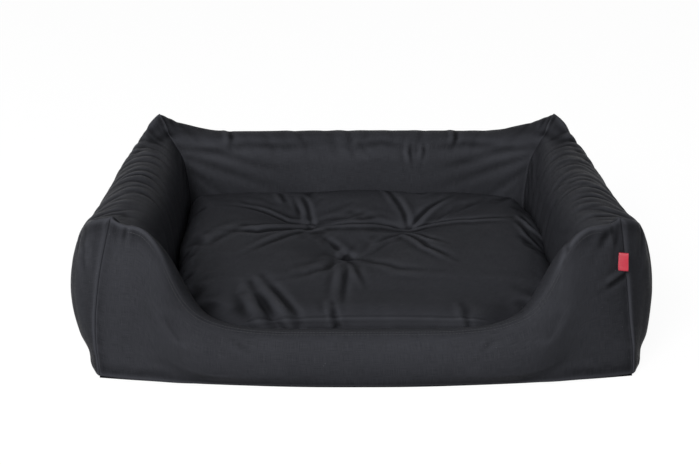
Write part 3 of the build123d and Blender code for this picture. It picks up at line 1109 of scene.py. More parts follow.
@dataclass(kw_only=True)
class WallPiece(SoftPiece):
    """One stuffed wall. Its rings lie in upright planes that turn from mitre to mitre.

    Rows of cloth run from a foot to the top, band rows under the foot, and zip rows up the zip's
    strip. A section is read by rays towards its core, which lies at a share of its height. The
    shoulders stand beside the front wall's entry, at shares of its half length. The sill's stitches
    keep to a share of it.
    """

    wall: Wall
    gathers: tuple[Gather, ...] = ()
    rows: int = 40
    band: int = 12
    zip_rows: int = 4
    step: float = 5.0 * MM
    end_step: float = 2.0 * MM
    end_inset: float = 1.5 * MM
    mitre_gap: float = 0.3 * MM
    mitre_room: float = 0.25 * MM
    mitre_width: float = 1.0 * MM
    zip_seam: float = 2.0 * MM
    reach: float = 0.5
    sweep: float = math.radians(52)
    section_rays: int = 321
    top_rays: int = 33
    top_shares: tuple[float, float] = (-0.6, 1.0)
    core_share: float = 0.42
    foot_rise: float = 3.0 * MM
    smooth_rounds: int = 30
    plump_rounds: int = 6
    shoulder_shares: tuple[float, ...] = (0.586, 0.651, 0.677, 0.70, 0.757, 0.814, 0.886, 0.95, 0.99)
    shoulder_lifts_mm: tuple[float, ...] = (0.0, 12.0, 27.0, 37.0, 38.0, 31.0, 16.0, 5.0, 0.0)
    slack_height: float = 60.0 * MM
    foot_slack_share: float = 0.15
    sill_share: float = 0.88
    foot: float = field(init=False)
    along: np.ndarray = field(init=False)
    out: np.ndarray = field(init=False)
    half_length: float = field(init=False)
    half_span: float = field(init=False)
    probe: Probe = field(init=False)
    edge_columns: np.ndarray | None = field(default=None, init=False)

    def __post_init__(self) -> None:
        """Takes the wall's name, directions and sizes from the frame."""
        self.name = f"{self.wall.word}_wall"
        self.replaced = (f"{self.name}_cover", f"{self.name}_filling")
        self.foot = PLAN.band_top if self.wall is Wall.REAR else PLAN.foot_height
        self.along, self.out = (np.array(v) for v in self.wall.value)
        self.half_length, self.half_span = PLAN.half_length(self.wall), PLAN.half_span(self.wall)
        self.probe = Probe(*self.replaced)

    def place(self, share: float, inward: float | np.ndarray, up: float | np.ndarray) -> np.ndarray:
        """World points of a station of the wall.

        Args:
            share: where the station is, from -1 at one corner to 1 at the other.
            inward: how far in from the outer seam.
            up: the height.

        Returns:
            The points.
        """
        inward, up = np.atleast_1d(inward), np.atleast_1d(up)
        across = share * (self.half_length - inward)
        return (across[:, None] * self.along + (self.half_span - inward)[:, None] * self.out
                + up[:, None] * np.array(UP))

    def local(self, points: np.ndarray) -> tuple[np.ndarray, np.ndarray, np.ndarray]:
        """How far along, inward and up the points lie, in the wall's own terms."""
        return points @ self.along, self.half_span - points @ self.out, points[:, 2]

    def cast(self, share: float, start: tuple[float, float], end: tuple[float, float]) -> tuple | None:
        """A ray in a station's plane from one (inward, up) towards another.

        Args:
            share: the station.
            start: where the ray starts.
            end: what it aims at.

        Returns:
            The first point that it meets, as (inward, up), or None.
        """
        first, last = (self.place(share, *pair)[0] for pair in (start, end))
        found = self.probe.hit(first, last - first)
        return None if found is None else (self.half_span - found @ self.out, found[2])

    def section(self, share: float) -> np.ndarray:
        """The wall's outline at a station, from its outer foot over its top to its inner foot.

        Args:
            share: the station.

        Returns:
            Rows of (inward, up), with the top at row number self.rows.
        """
        across = PLAN.foot_width * np.linspace(*self.top_shares, self.top_rays)
        tops = [self.cast(share, (inward, self.reach), (inward, 0.0)) for inward in across]
        middle = self.core_share * max(t[1] for t in tops if t)
        outer = self.cast(share, (-self.reach, middle), (0.0, middle))[0]
        inner = self.cast(share, (self.reach / 2, middle), (0.0, middle))[0]
        core = ((outer + inner) / 2, middle)
        line = []
        for angle in np.linspace(math.pi + self.sweep, -self.sweep, self.section_rays):
            far = (core[0] + self.reach / 2 * math.cos(angle), core[1] + self.reach / 2 * math.sin(angle))
            found = self.cast(share, far, core)
            if found and found[1] > self.foot_rise + (self.foot if found[0] < core[0] else 0.0):
                line.append(found)
        line = np.array([(line[0][0], self.foot), *line, (line[-1][0], PLAN.foot_height)])
        top = int(np.argmax(line[:, 1]))
        outside, inside = resampled(line[:top + 1], self.rows), resampled(line[top:], self.rows)
        return np.concatenate([outside, inside[1:]])

    def shares(self) -> np.ndarray:
        """The stations: even along the wall, with two close ones at each mitre.

        Returns:
            Their shares of the half length, from -1 to 1.
        """
        even = np.linspace(-1.0, 1.0, 2 * round(self.half_length / self.step) + 1)
        near = self.end_step / self.half_length
        return np.sort(np.concatenate([even, [-1.0 + near, 1.0 - near]]))

    def foot_line(self, outline: np.ndarray) -> np.ndarray:
        """The cloth under a section, from its inner foot to its outer foot, without either.

        Args:
            outline: the section as (inward, up).

        Returns:
            The points, one fewer than the rows under the foot.
        """
        if self.wall is not Wall.REAR:
            return resampled(outline[[-1, 0]], self.band)[1:-1]
        low, high = (PLAN.zip_room, PLAN.foot_height), (PLAN.zip_room, self.foot)
        floor = resampled(np.array([outline[-1], low]), self.band - 1 - self.zip_rows)[1:]
        return np.concatenate([floor, resampled(np.array([low, high]), self.zip_rows)[1:]])

    def plumped(self, stations: np.ndarray, sections: np.ndarray) -> np.ndarray:
        """The front wall's sections, plumped up beside the entry as the stuffing stands there.

        Args:
            stations: the stations' shares.
            sections: their outlines.

        Returns:
            The outlines, higher where the wall's shoulders are.
        """
        lifts = np.interp(np.abs(stations), self.shoulder_shares, self.shoulder_lifts_mm) * MM
        tall = sections[:, :, 1].max(axis=1)
        plump = sections.copy()
        plump[:, :, 1] *= (1.0 + lifts / tall)[:, None]
        return plump

    def wrap(self) -> None:
        """Wraps the wall's skin on its CAD solids."""
        limit = 1.0 - self.end_inset / self.half_length
        stations = self.shares()
        sections = np.array([self.section(np.clip(s, -limit, limit)) for s in stations])
        if self.wall is Wall.FRONT:
            sections = self.plumped(stations, smoothed(sections, self.plump_rounds))
            sections = smoothed(sections, self.plump_rounds)
        else:
            sections = smoothed(sections, self.smooth_rounds)
        rings = []
        for share, outline in zip(stations, sections):
            ring = np.concatenate([outline, self.foot_line(outline)])
            placed = share * (1.0 - self.mitre_gap / self.half_length)
            rings.append(self.place(placed, ring[:, 0], ring[:, 1]))
        skin = Skin(np.array(rings), self.rows, self.band, one_band=True)
        self.obj = turned_out(mesh_piece(self.name, *skin.build()))

    def held(self) -> np.ndarray:
        """The mitre seams, the foot and the cloth behind the zip are held.

        Returns:
            Whether each point is.
        """
        across, inward, up = self.local(self.start)
        mitre = np.abs(across) > (self.half_length - inward) * (1.0 - self.mitre_width / self.half_length)
        behind_zip = (inward < PLAN.zip_room + self.zip_seam) & (up < self.foot + self.zip_seam)
        return mitre | (up < 2 * PLAN.foot_height) | behind_zip

    def cut_larger(self, points: np.ndarray) -> np.ndarray:
        """The cloth is cut longer than the wall, more so high up than at the foot.

        Args:
            points: the skin's points.

        Returns:
            The cut's points.
        """
        across, _, up = self.local(points)
        high = np.clip(up / self.slack_height, self.foot_slack_share, 1.0)
        return points + (across * self.stuffing.slack * high)[:, None] * self.along

    def kept_clear(self, points: np.ndarray) -> np.ndarray:
        """Keeps the wall on its own side of the mitres and above the base.

        Args:
            points: the wall's points.

        Returns:
            The points that are clear.
        """
        across, inward, _ = self.local(points)
        room = self.half_length - inward - self.mitre_room
        kept = np.clip(across, -room, room)
        points = points + (kept - across)[:, None] * self.along
        points[:, 2] = np.maximum(points[:, 2], PLAN.foot_height)
        return points

    def grid(self) -> np.ndarray:
        """The skin before it is subdivided.

        Returns:
            Its points by column and row, from foot to foot.
        """
        rows = 2 * self.rows + self.band
        rings = points_of(self.obj.data)[:len(self.shares()) * rows]
        return rings.reshape(-1, rows, 3)[:, :2 * self.rows + 1]

    def creases(self) -> list[Crease]:
        """The folds of the wall's gathers. Notes the rows at its outer edge for the sill's stitches.

        Returns:
            The folds.
        """
        grid = self.grid()
        self.edge_columns = grid[np.abs(self.shares()) < self.sill_share][:, self.rows::-1]
        rng = np.random.default_rng(sum(map(ord, self.name)))
        return [crease for gather in self.gathers for crease in gather.folds(grid, rng)]

    def settled(self, points: np.ndarray) -> np.ndarray:
        """The points, where the finished wall has settled."""
        return PLAN.settled(points)


@dataclass(kw_only=True)
class PadPiece(SoftPiece):
    """A pad of two sheets of cloth with a band between them, wrapped in upright rings.

    Its upper rows run to a share of its half width and its lower rows to a share of that. Its rings
    keep an inset from its front and its rear.
    """

    hard: tuple[str, ...] = ()
    step: float = 5.5 * MM
    band: int = 14
    inset: float = 1.0 * MM
    width_share: float = 0.925
    under_share: float = 1.03
    held_height: float = 0.6 * MM
    rear: float = field(init=False)
    front: float = field(init=False)
    half_width: float = field(init=False)
    floor: float = field(init=False)
    columns: int = field(init=False)
    probe: Probe = field(init=False)

    def __post_init__(self) -> None:
        """Reads the pad's box from the frame."""
        boxes = [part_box(node) for node in self.hard]
        self.rear = max(b[1].y for b in boxes)
        self.front = min(b[0].y for b in boxes)
        self.half_width = max(b[1].x for b in boxes)
        self.floor = min(b[0].z for b in boxes)
        self.columns = 2 * round(self.half_width / self.step)
        self.probe = Probe(*self.hard)

    def ring(self, y: float) -> np.ndarray:
        """One ring of the pad, in an upright plane.

        Args:
            y: where the plane is.

        Returns:
            The ring's points.
        """
        top, bottom = (self.probe.hit((0.0, y, z), way)[2] for z, way in ((FAR, DOWN), (-FAR, UP)))
        half = self.probe.hit((FAR, y, (top + bottom) / 2), (-1.0, 0.0, 0.0))[0]
        across = np.linspace(-self.width_share, self.width_share, self.columns + 1) * half
        over = np.array([self.probe.hit((x, y, FAR), DOWN) for x in across])
        under = np.array([self.probe.hit((x * self.under_share, y, -FAR), UP) for x in across])
        bands = []
        for side, first, last in ((1.0, over[-1], under[-1]), (-1.0, under[0], over[0])):
            heights = np.linspace(first[2], last[2], self.band + 1)[1:-1]
            bands.append(np.array([self.probe.hit((side * FAR, y, z), (-side, 0.0, 0.0)) for z in heights]))
        return np.concatenate([over, bands[0], under[::-1], bands[1]])

    def shaped(self, rings: np.ndarray) -> np.ndarray:
        """The wrapped rings, with what the cloth does that the solids don't have."""
        return rings

    def wrap(self) -> None:
        """Wraps the pad's skin on its CAD solids."""
        count = round((self.rear - self.front) / self.step)
        places = np.linspace(self.front + self.inset, self.rear - self.inset, count)
        rings = self.shaped(np.array([self.ring(y) for y in places]))
        self.obj = turned_out(mesh_piece(self.name, *Skin(rings, self.columns, self.band).build()))

    def held(self) -> np.ndarray:
        """The flat underside is held."""
        return self.start[:, 2] < self.floor + self.held_height

    def cut_larger(self, points: np.ndarray) -> np.ndarray:
        """The sheets are cut larger than the pad's plan."""
        larger = 1.0 + self.stuffing.slack
        return points * np.array((larger, larger, 1.0))

    def kept_clear(self, points: np.ndarray) -> np.ndarray:
        """Keeps the pad above what it lies on."""
        points[:, 2] = np.maximum(points[:, 2], self.floor)
        return points


@dataclass(kw_only=True)
class WellFloor(PadPiece):
    """The padded floor of the well, under the cushion."""

    name: str = "well_floor"
    replaced: tuple[str, ...] = ("well_floor_panel", "base_pad")
    hard: tuple[str, ...] = replaced
    band: int = 5


@dataclass(kw_only=True)
class CushionPiece(PadPiece):
    """The loose tufted cushion. Its front lies over the foot of the front wall.

    The tufts' places are shares of the half width and of the front's distance. The cloth climbs from
    a tuft at the tuft slope. Past front_start the front bulges out and rises, past calm_start its
    folds are calmed, and nearer the front edge the folds' tone, rubbed wear on the ridges and painted
    shade in the valleys, fades out, each over its own run. The rear keeps off the zip: the room beside
    the zip's ends and above it grows over the end run and side run.
    """

    name: str = "cushion"
    body: str = "cushion"
    slot: str = "cushion_fabric"
    replaced: tuple[str, ...] = ("cushion_top_panel", "cushion_bottom_panel", "cushion_filling")
    hard: tuple[str, ...] = ("cushion_top_panel", "cushion_bottom_panel")
    rest_rounds: int = 2
    tuft_shares: tuple[tuple[float, float], ...] = ((-0.295, 0.288), (0.258, 0.192), (-0.093, -0.248))
    tuft_heights: tuple[float, ...] = (82.3 * MM, 81.4 * MM, 77.9 * MM)
    tuft_slope: float = 0.29
    tuft_softness: float = 7 * MM
    tuft_rise: float = 2 * MM
    knot_room: float = 6 * MM
    front_start: float = 180 * MM
    front_run: float = 70 * MM
    front_bulge: float = 15 * MM
    front_rise: float = 8 * MM
    calm_start: float = 195 * MM
    calm_run: float = 35 * MM
    calm_rounds: int = 30
    # Where the folds' tone of rubbed wear and painted shade starts to fade towards the front, and over what
    # run.
    worn_start: float = 262 * MM
    worn_run: float = 30 * MM
    side_room: float = 3 * MM
    wall_start: float = 190 * MM
    wall_room: float = 2 * MM
    zip_reach: float = 25 * MM
    zip_room: float = 2.2 * MM
    zip_bulge: float = 30 * MM
    zip_end: float = 3 * MM
    zip_end_run: float = 15 * MM
    zip_side: float = 13 * MM
    zip_side_run: float = 12 * MM
    bulges: tuple[Settle, ...] = (
        Settle((-0.262, 0.185, 0.075), 0.075, (-0.012, 0.009, 0.003)),
        Settle((-0.290, 0.04, 0.075), 0.10, (-0.007, 0.0, 0.004)),
        Settle((0.0, 0.192, 0.080), 0.14, (0.0, 0.008, 0.003)),
        Settle((0.300, 0.195, 0.075), 0.055, (-0.020, -0.020, -0.002)),
        Settle((0.290, 0.03, 0.075), 0.09, (0.011, 0.0, 0.006)),
        Settle((0.290, -0.10, 0.070), 0.08, (0.006, 0.0, 0.004)),
    )
    front_wall: Probe = field(init=False)
    zip_box: tuple[Vector, Vector] = field(init=False)

    def __post_init__(self) -> None:
        """Finds the neighbours that the cushion must clear."""
        super().__post_init__()
        self.front_wall = Probe("front_wall_cover")
        self.zip_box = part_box("cushion_zip_tapes")

    def tufts(self) -> np.ndarray:
        """The tufts' points, one a row."""
        return np.array([(x * self.half_width, y * -self.front, z)
                         for (x, y), z in zip(self.tuft_shares, self.tuft_heights)])

    def shaped(self, rings: np.ndarray) -> np.ndarray:
        """The cloth runs in cones to its tufts, and bulges out at its front, sides and rear.

        Args:
            rings: the wrapped rings.

        Returns:
            The shaped rings.
        """
        over = rings[:, :self.columns + 1]
        for tuft in self.tufts():
            away = np.linalg.norm(over[..., :2] - tuft[:2], axis=-1)
            above = (over[..., 2] - tuft[2] - self.tuft_rise - self.tuft_slope * away) / self.tuft_softness
            over[..., 2] -= self.tuft_softness * np.logaddexp(0.0, above)
        near = ramp(-rings[..., 1], self.front_start, self.front_run)
        rings[..., 1] -= self.front_bulge * near**2
        over[..., 2] += self.front_rise * near[:, :self.columns + 1] ** 2
        for bulge in self.bulges:
            rings = bulge.move(rings.reshape(-1, 3)).reshape(rings.shape)
        return rings

    def settled(self, points: np.ndarray) -> np.ndarray:
        """The points, with the front calmed where it lies against the front wall."""
        calm = relaxed(self.obj.data, points, self.calm_rounds)
        return points + ramp(-points[:, 1], self.calm_start, self.calm_run)[:, None] * (calm - points)

    def worn(self, points: np.ndarray) -> np.ndarray:
        """The folds' tone, rubbed wear and painted shade, fades out towards the front edge, which is tucked
        away behind the front wall.
        """
        return ramp(points[:, 1], -self.worn_start, self.worn_run)

    def held(self) -> np.ndarray:
        """The cloth at the tufts' knots and the flat underside are held.

        Returns:
            Whether each point is.
        """
        tufts = self.tufts()[None, :, :2]
        away = np.linalg.norm(self.start[:, None, :2] - tufts, axis=2).min(axis=1)
        return (away < self.knot_room) | super().held()

    def kept_clear(self, points: np.ndarray) -> np.ndarray:
        """Keeps the cushion off the floor, the side walls, the front wall's foot and its own zip.

        Args:
            points: the cushion's points.

        Returns:
            The points that are clear.
        """
        points = super().kept_clear(points)
        limit = self.half_width + self.side_room
        points[:, 0] = np.clip(points[:, 0], -limit, limit)
        for i in np.flatnonzero(points[:, 1] < -self.wall_start):
            found = self.front_wall.hit((points[i, 0], points[i, 1], FAR), DOWN)
            if found is not None:
                points[i, 2] = max(points[i, 2], found[2] + self.wall_room)
        low, high = self.zip_box
        beside = ramp(np.abs(points[:, 0]), high.x + self.zip_end, self.zip_end_run)
        above = ramp(np.abs(points[:, 2] - (low.z + high.z) / 2), self.zip_side, self.zip_side_run)
        room = low.y - self.zip_room + self.zip_bulge * np.maximum(beside, above) ** 2
        at_rear = points[:, 1] > low.y - self.zip_reach
        points[:, 1] = np.where(at_rear, np.minimum(points[:, 1], room), points[:, 1])
        return points


def dressed(obj: Object, body: str, slot: str, material: Material, *nodes: str) -> None:
    """Gives a finished piece its material and its body, and hides the CAD nodes that it stands for.

    Args:
        obj: the piece.
        body: the CAD body that it rides on.
        slot: the record's material slot; not used.
        material: its material.
        nodes: the CAD nodes that it replaces.
    """
    obj.data.materials.clear()
    obj.data.materials.append(material)
    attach(obj, body)
    if nodes:
        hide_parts(*nodes)
    LOG.info("%s: %d faces", obj.name, len(obj.data.polygons))


def primitive(name: str, add: Callable, stretch: Point = (1.0, 1.0, 1.0), **settings: object) -> Object:
    """Adds a primitive at its size and place.

    Args:
        name: the piece's name.
        add: the operator that adds it.
        stretch: how much longer it is made along each axis.
        settings: what the operator takes.

    Returns:
        The new object, at the origin, unturned and unscaled.
    """
    bpy.ops.object.select_all(action="DESELECT")
    add(**settings)
    obj = bpy.context.active_object
    obj.name = name
    obj.scale = stretch
    bpy.ops.object.transform_apply(location=True, rotation=True, scale=True)
    return obj


def rounded(obj: Object, width: float, segments: int = 1, **settings: object) -> None:
    """Rounds a piece's sharp edges.

    Args:
        obj: the piece.
        width: how wide the rounding is.
        segments: in how many steps.
        settings: the modifier's other settings.
    """
    applied(obj, "BEVEL", width=width, segments=segments, limit_method="ANGLE", **settings)


def block(name: str, low: Point, high: Point) -> Object:
    """A block between two corners.

    Args:
        name: the piece's name.
        low: its lowest corner.
        high: its highest corner.

    Returns:
        The block.
    """
    return primitive(name, bpy.ops.mesh.primitive_cube_add, size=1.0,
                     stretch=[b - a for a, b in zip(low, high)],
                     location=[(a + b) / 2 for a, b in zip(low, high)])


def repeated(obj: Object, count: int, step: Point) -> None:
    """Repeats a piece in a row, as part of itself.

    Args:
        obj: the piece.
        count: how many there are in the end.
        step: from one to the next.
    """
    applied(obj, "ARRAY", count=count, use_relative_offset=False, use_constant_offset=True,
            constant_offset_displace=step)


def joined(name: str, *parts: Object) -> Object:
    """Joins pieces into the first.

    Args:
        name: the joined piece's name.
        parts: the pieces.

    Returns:
        The joined piece.
    """
    only(*parts)
    bpy.ops.object.join()
    parts[0].name = name
    return parts[0]


def lay_out_cloth(obj: Object, across: int, along: int) -> None:
    """Writes flat cloth coordinates from two axes of the piece.

    Args:
        obj: the piece.
        across: the number of the first axis.
        along: the number of the second.
    """
    mesh = obj.data
    layer = mesh.uv_layers.get("cloth") or mesh.uv_layers.new(name="cloth")
    points = points_of(mesh)
    corners = np.empty(len(mesh.loops), np.int32)
    mesh.loops.foreach_get("vertex_index", corners)
    layer.data.foreach_set("uv", points[corners][:, [across, along]].astype(np.float32).ravel())


@dataclass(frozen=True)
class StitchRow:
    """A row of thread stitches along a line on the bed."""

    finishes: Finishes
    name: str
    length: float = 2.9 * MM
    step: float = 4.0 * MM
    radius: float = 0.33 * MM
    rounding: float = 0.2 * MM

    def sew(self, line: np.ndarray) -> None:
        """Sews the row.

        Args:
            line: the points that it follows.
        """
        run = float(np.linalg.norm(np.diff(line, axis=0), axis=1).sum())
        path = bpy.data.curves.new(f"{self.name}_line", "CURVE")
        path.dimensions = "3D"
        spline = path.splines.new("POLY")
        spline.points.add(len(line) - 1)
        spline.points.foreach_set("co", np.c_[line, np.ones(len(line))].ravel())
        guide = bpy.data.objects.new(path.name, path)
        bpy.context.scene.collection.objects.link(guide)
        row = primitive(self.name, bpy.ops.mesh.primitive_cylinder_add, vertices=6, radius=self.radius,
                        depth=self.length, location=(self.length / 2, 0.0, 0.0),
                        rotation=(0.0, math.radians(90.0), 0.0))
        rounded(row, self.rounding)
        repeated(row, max(2, int(run / self.step)), (self.step, 0.0, 0.0))
        applied(row, "CURVE", object=guide, deform_axis="POS_X")
        bpy.data.objects.remove(guide)
        row.data.shade_smooth()
        dressed(row, "bed", "thread", self.finishes.thread)


def on_surface(piece: Object, line: np.ndarray, proud: float) -> np.ndarray:
    """The nearest points on a piece to a line, a little proud of it.

    Args:
        piece: the piece.
        line: the line's points.
        proud: how far above the surface.

    Returns:
        The new points.
    """
    tree = tree_of(piece.data)
    found = [tree.find_nearest(Vector(p)) for p in line]
    return np.array([np.array(place) + proud * np.array(normal) for place, normal, *_ in found])


@dataclass(frozen=True)
class BaseCover:
    """The plain cloth under the whole bed, with rows of small rubber grip dots under it.

    The top of the cloth is at its height, less two crossed waves, whose turns are in radians to the
    metre. Its area, in square metres, is not used.
    """

    finishes: Finishes
    thickness: float = 0.9 * MM
    height: float = 1.4 * MM
    rounding: float = 0.2 * MM
    cells: tuple[int, int] = (96, 80)
    wave: float = 0.12 * MM
    wave_turns: tuple[float, float] = (41.0, 57.0)
    wave_starts: tuple[float, float] = (2.0, 1.0)
    area: float = 0.42
    dot_radius: float = 2.2 * MM
    dot_height: float = 0.8 * MM
    dot_rounding: float = 0.3 * MM
    dot_pitch: float = 21.0 * MM
    dot_margin: float = 12.0 * MM

    def outline(self, across: np.ndarray, along: np.ndarray) -> tuple[np.ndarray, np.ndarray]:
        """Maps a square onto the base's plan, whose front and sides are bowed.

        Args:
            across: from -1 at the left edge to 1 at the right edge.
            along: from -1 at the front edge to 1 at the rear edge.

        Returns:
            X and Y.
        """
        low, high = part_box("base_cover")
        side_bow, front_bow = high.x - PLAN.half_width, -low.y - PLAN.half_depth
        x = across * (PLAN.half_width + side_bow * (1 - along**2))
        y = along * (PLAN.half_depth + np.where(along < 0, front_bow * (1 - across**2), 0.0))
        return x, y

    def lay_cloth(self) -> None:
        """Builds the cloth."""
        cover = primitive("base_cover_cloth", bpy.ops.mesh.primitive_grid_add, size=2.0,
                          x_subdivisions=self.cells[0], y_subdivisions=self.cells[1])
        points = points_of(cover.data)
        x, y = self.outline(points[:, 0], points[:, 1])
        waves = (np.sin(axis * turns + start)
                 for axis, turns, start in zip((x, y), self.wave_turns, self.wave_starts))
        drop = self.wave * (np.prod(list(waves), axis=0) - 1.0)
        set_points(cover.data, np.stack([x, y, self.height + drop], axis=1))
        applied(cover, "SOLIDIFY", thickness=self.thickness, offset=-1.0)
        rounded(cover, self.rounding)
        lay_out_cloth(cover, 0, 1)
        dressed(cover, "bed", "base_fabric", self.finishes.base, "base_cover")

    def set_dots(self) -> None:
        """Builds the grip dots."""
        counts = [int(2 * (half - self.dot_margin) / self.dot_pitch) + 1
                  for half in (PLAN.half_width, PLAN.half_depth)]
        start = [-(count - 1) * self.dot_pitch / 2 for count in counts]
        dots = primitive("grip_dots", bpy.ops.mesh.primitive_cylinder_add, vertices=12,
                         radius=self.dot_radius, depth=self.dot_height,
                         location=(*start, self.dot_height / 2))
        rounded(dots, self.dot_rounding, 2)
        repeated(dots, counts[0], (self.dot_pitch, 0.0, 0.0))
        repeated(dots, counts[1], (0.0, self.dot_pitch, 0.0))
        dots.data.shade_smooth()
        dressed(dots, "bed", "base_fabric", self.finishes.rubber)

    def build(self) -> None:
        """Builds the cover and its dots."""
        self.lay_cloth()
        self.set_dots()


@dataclass(frozen=True)
class RearBand:
    """The straight strip of cloth low on the back, with the opening that the bed's zip stands in.

    The rim is the opening's room over and under the coils. Its two rows of stitches lie the stitch
    gap from it.
    """

    finishes: Finishes
    rim: float = 2.0 * MM
    end_gap: float = 1.5 * MM
    top_gap: float = 0.3 * MM
    merge: float = 0.01 * MM
    stitch_gap: float = 1.8 * MM
    stitch_lift: float = 0.05 * MM
    stitch_points: int = 200

    def build(self) -> None:
        """Builds the strip and its stitches."""
        low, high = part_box("rear_zip_band")
        coils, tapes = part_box("bed_zip_coils"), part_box("bed_zip_tapes")
        half, end = tapes[1].x, high.x - self.end_gap
        foot, top = PLAN.foot_height, high.z - self.top_gap
        sill, lintel = coils[0].z - self.rim, coils[1].z + self.rim
        corners = (((-end, foot), (end, sill)), ((-end, lintel), (end, top)),
                   ((-end, sill), (-half, lintel)), ((half, sill), (end, lintel)))
        parts = [block(f"band_{number}", (first[0], low.y, first[1]), (last[0], high.y, last[1]))
                 for number, (first, last) in enumerate(corners)]
        band = joined("rear_band", *parts)
        applied(band, "WELD", merge_threshold=self.merge)
        lay_out_cloth(band, 0, 2)
        dressed(band, "bed", "shell_fabric", self.finishes.shell, "rear_zip_band")
        for number, height in enumerate((sill - self.stitch_gap, lintel + self.stitch_gap)):
            line = np.array([(x, high.y + self.stitch_lift, height)
                             for x in np.linspace(-half, half, self.stitch_points)])
            StitchRow(self.finishes, f"bed_zip_stitches_{number}").sew(line)


@dataclass(frozen=True)
class Zip:
    """One zip: two woven tapes, two rows of nylon coil, and its metal pieces from the frame.

    Its kind says what it closes, and is also the body that it rides on. A tooth's length is a share
    of the coil's pitch.
    """

    finishes: Finishes
    kind: str
    pitch: float = 1.5 * MM
    tape_gap: float = 1.0 * MM
    tape_rounding: float = 0.25 * MM
    tooth: float = 2.5 * MM
    tooth_share: float = 0.82
    tooth_rounding: float = 0.3 * MM
    metal_rounding: float = 0.25 * MM

    def weave_tapes(self) -> None:
        """Builds the two tapes."""
        low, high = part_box(f"{self.kind}_zip_tapes")
        width = (high.z - low.z - self.tape_gap) / 2
        tapes = block(f"{self.kind}_tapes", low, (high.x, high.y, low.z + width))
        rounded(tapes, self.tape_rounding, 2)
        repeated(tapes, 2, (0.0, 0.0, width + self.tape_gap))
        lay_out_cloth(tapes, 0, 2)
        dressed(tapes, self.kind, "zip_tape", self.finishes.zip_tape, f"{self.kind}_zip_tapes")

    def wind_coils(self) -> None:
        """Builds the two rows of coil."""
        low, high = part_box(f"{self.kind}_zip_coils")
        coils = primitive(
            f"{self.kind}_coils", bpy.ops.mesh.primitive_cylinder_add, vertices=8, radius=0.5, depth=1.0,
            stretch=(self.pitch * self.tooth_share, high.y - low.y, self.tooth),
            location=(low.x + self.pitch / 2, (low.y + high.y) / 2, low.z + self.tooth / 2))
        rounded(coils, self.tooth_rounding, angle_limit=math.radians(60))
        repeated(coils, int((high.x - low.x) / self.pitch), (self.pitch, 0.0, 0.0))
        repeated(coils, 2, (0.0, 0.0, high.z - low.z - self.tooth))
        coils.data.shade_smooth()
        dressed(coils, self.kind, "zip_coil", self.finishes.zip_coil, f"{self.kind}_zip_coils")

    def build(self) -> None:
        """Builds the zip's pieces and dresses its stops, slider and pull."""
        self.weave_tapes()
        self.wind_coils()
        for word in ("stops", "slider", "pull"):
            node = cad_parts[f"{self.kind}_zip_{word}"]
            bevel = node.modifiers.new("rounded", "BEVEL")
            set_all(bevel, width=self.metal_rounding, segments=2, limit_method="ANGLE")
            for socket in node.material_slots:
                socket.link = "OBJECT"
                socket.material = self.finishes.zip_metal


@dataclass(frozen=True)
class TuftKnots:
    """The thread through the cushion at each tuft, with a wound knot at both ends.

    Each of a knot's turns is smaller than the last, lies higher and leans in degrees more.
    """

    finishes: Finishes
    radius: float = 2.6 * MM
    thread: float = 0.75 * MM
    turns: int = 3
    turn_step: float = 0.5 * MM
    turn_rise: float = 0.7 * MM
    leans: tuple[float, float] = (12.0, 9.0)
    tie_radius: float = 1.0 * MM
    low_inset: float = 0.5 * MM

    def knot(self, place: np.ndarray) -> Object:
        """A small wound knot.

        Args:
            place: its middle.

        Returns:
            The knot.
        """
        parts = []
        for turn in range(self.turns):
            tilt = (math.radians(self.leans[0] * (turn - 1)), math.radians(self.leans[1] * turn), 0.0)
            parts.append(primitive("knot_turn", bpy.ops.mesh.primitive_torus_add,
                                   major_radius=self.radius - self.turn_step * turn,
                                   minor_radius=self.thread, major_segments=20, minor_segments=8,
                                   location=tuple(place + (0.0, 0.0, self.turn_rise * turn)),
                                   rotation=tilt))
        return joined("knot", *parts)

    def build(self, cushion: CushionPiece) -> None:
        """Builds the ties on the finished cushion.

        Args:
            cushion: the cushion that they hold.
        """
        cloth = tree_of(cushion.obj.data)
        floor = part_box("tuft_ties")[0].z + self.low_inset
        parts = []
        for x, y, _ in cushion.tufts():
            top = cloth.ray_cast(Vector((x, y, FAR)), Vector(DOWN))[0].z
            parts += [self.knot(np.array((x, y, z))) for z in (top, floor)]
            parts.append(primitive("tie", bpy.ops.mesh.primitive_cylinder_add, vertices=10,
                                   radius=self.tie_radius, depth=top - floor,
                                   location=(x, y, (top + floor) / 2)))
        ties = joined("tuft_threads", *parts)
        ties.data.shade_smooth()
        dressed(ties, "cushion", "thread", self.finishes.thread, "tuft_ties")


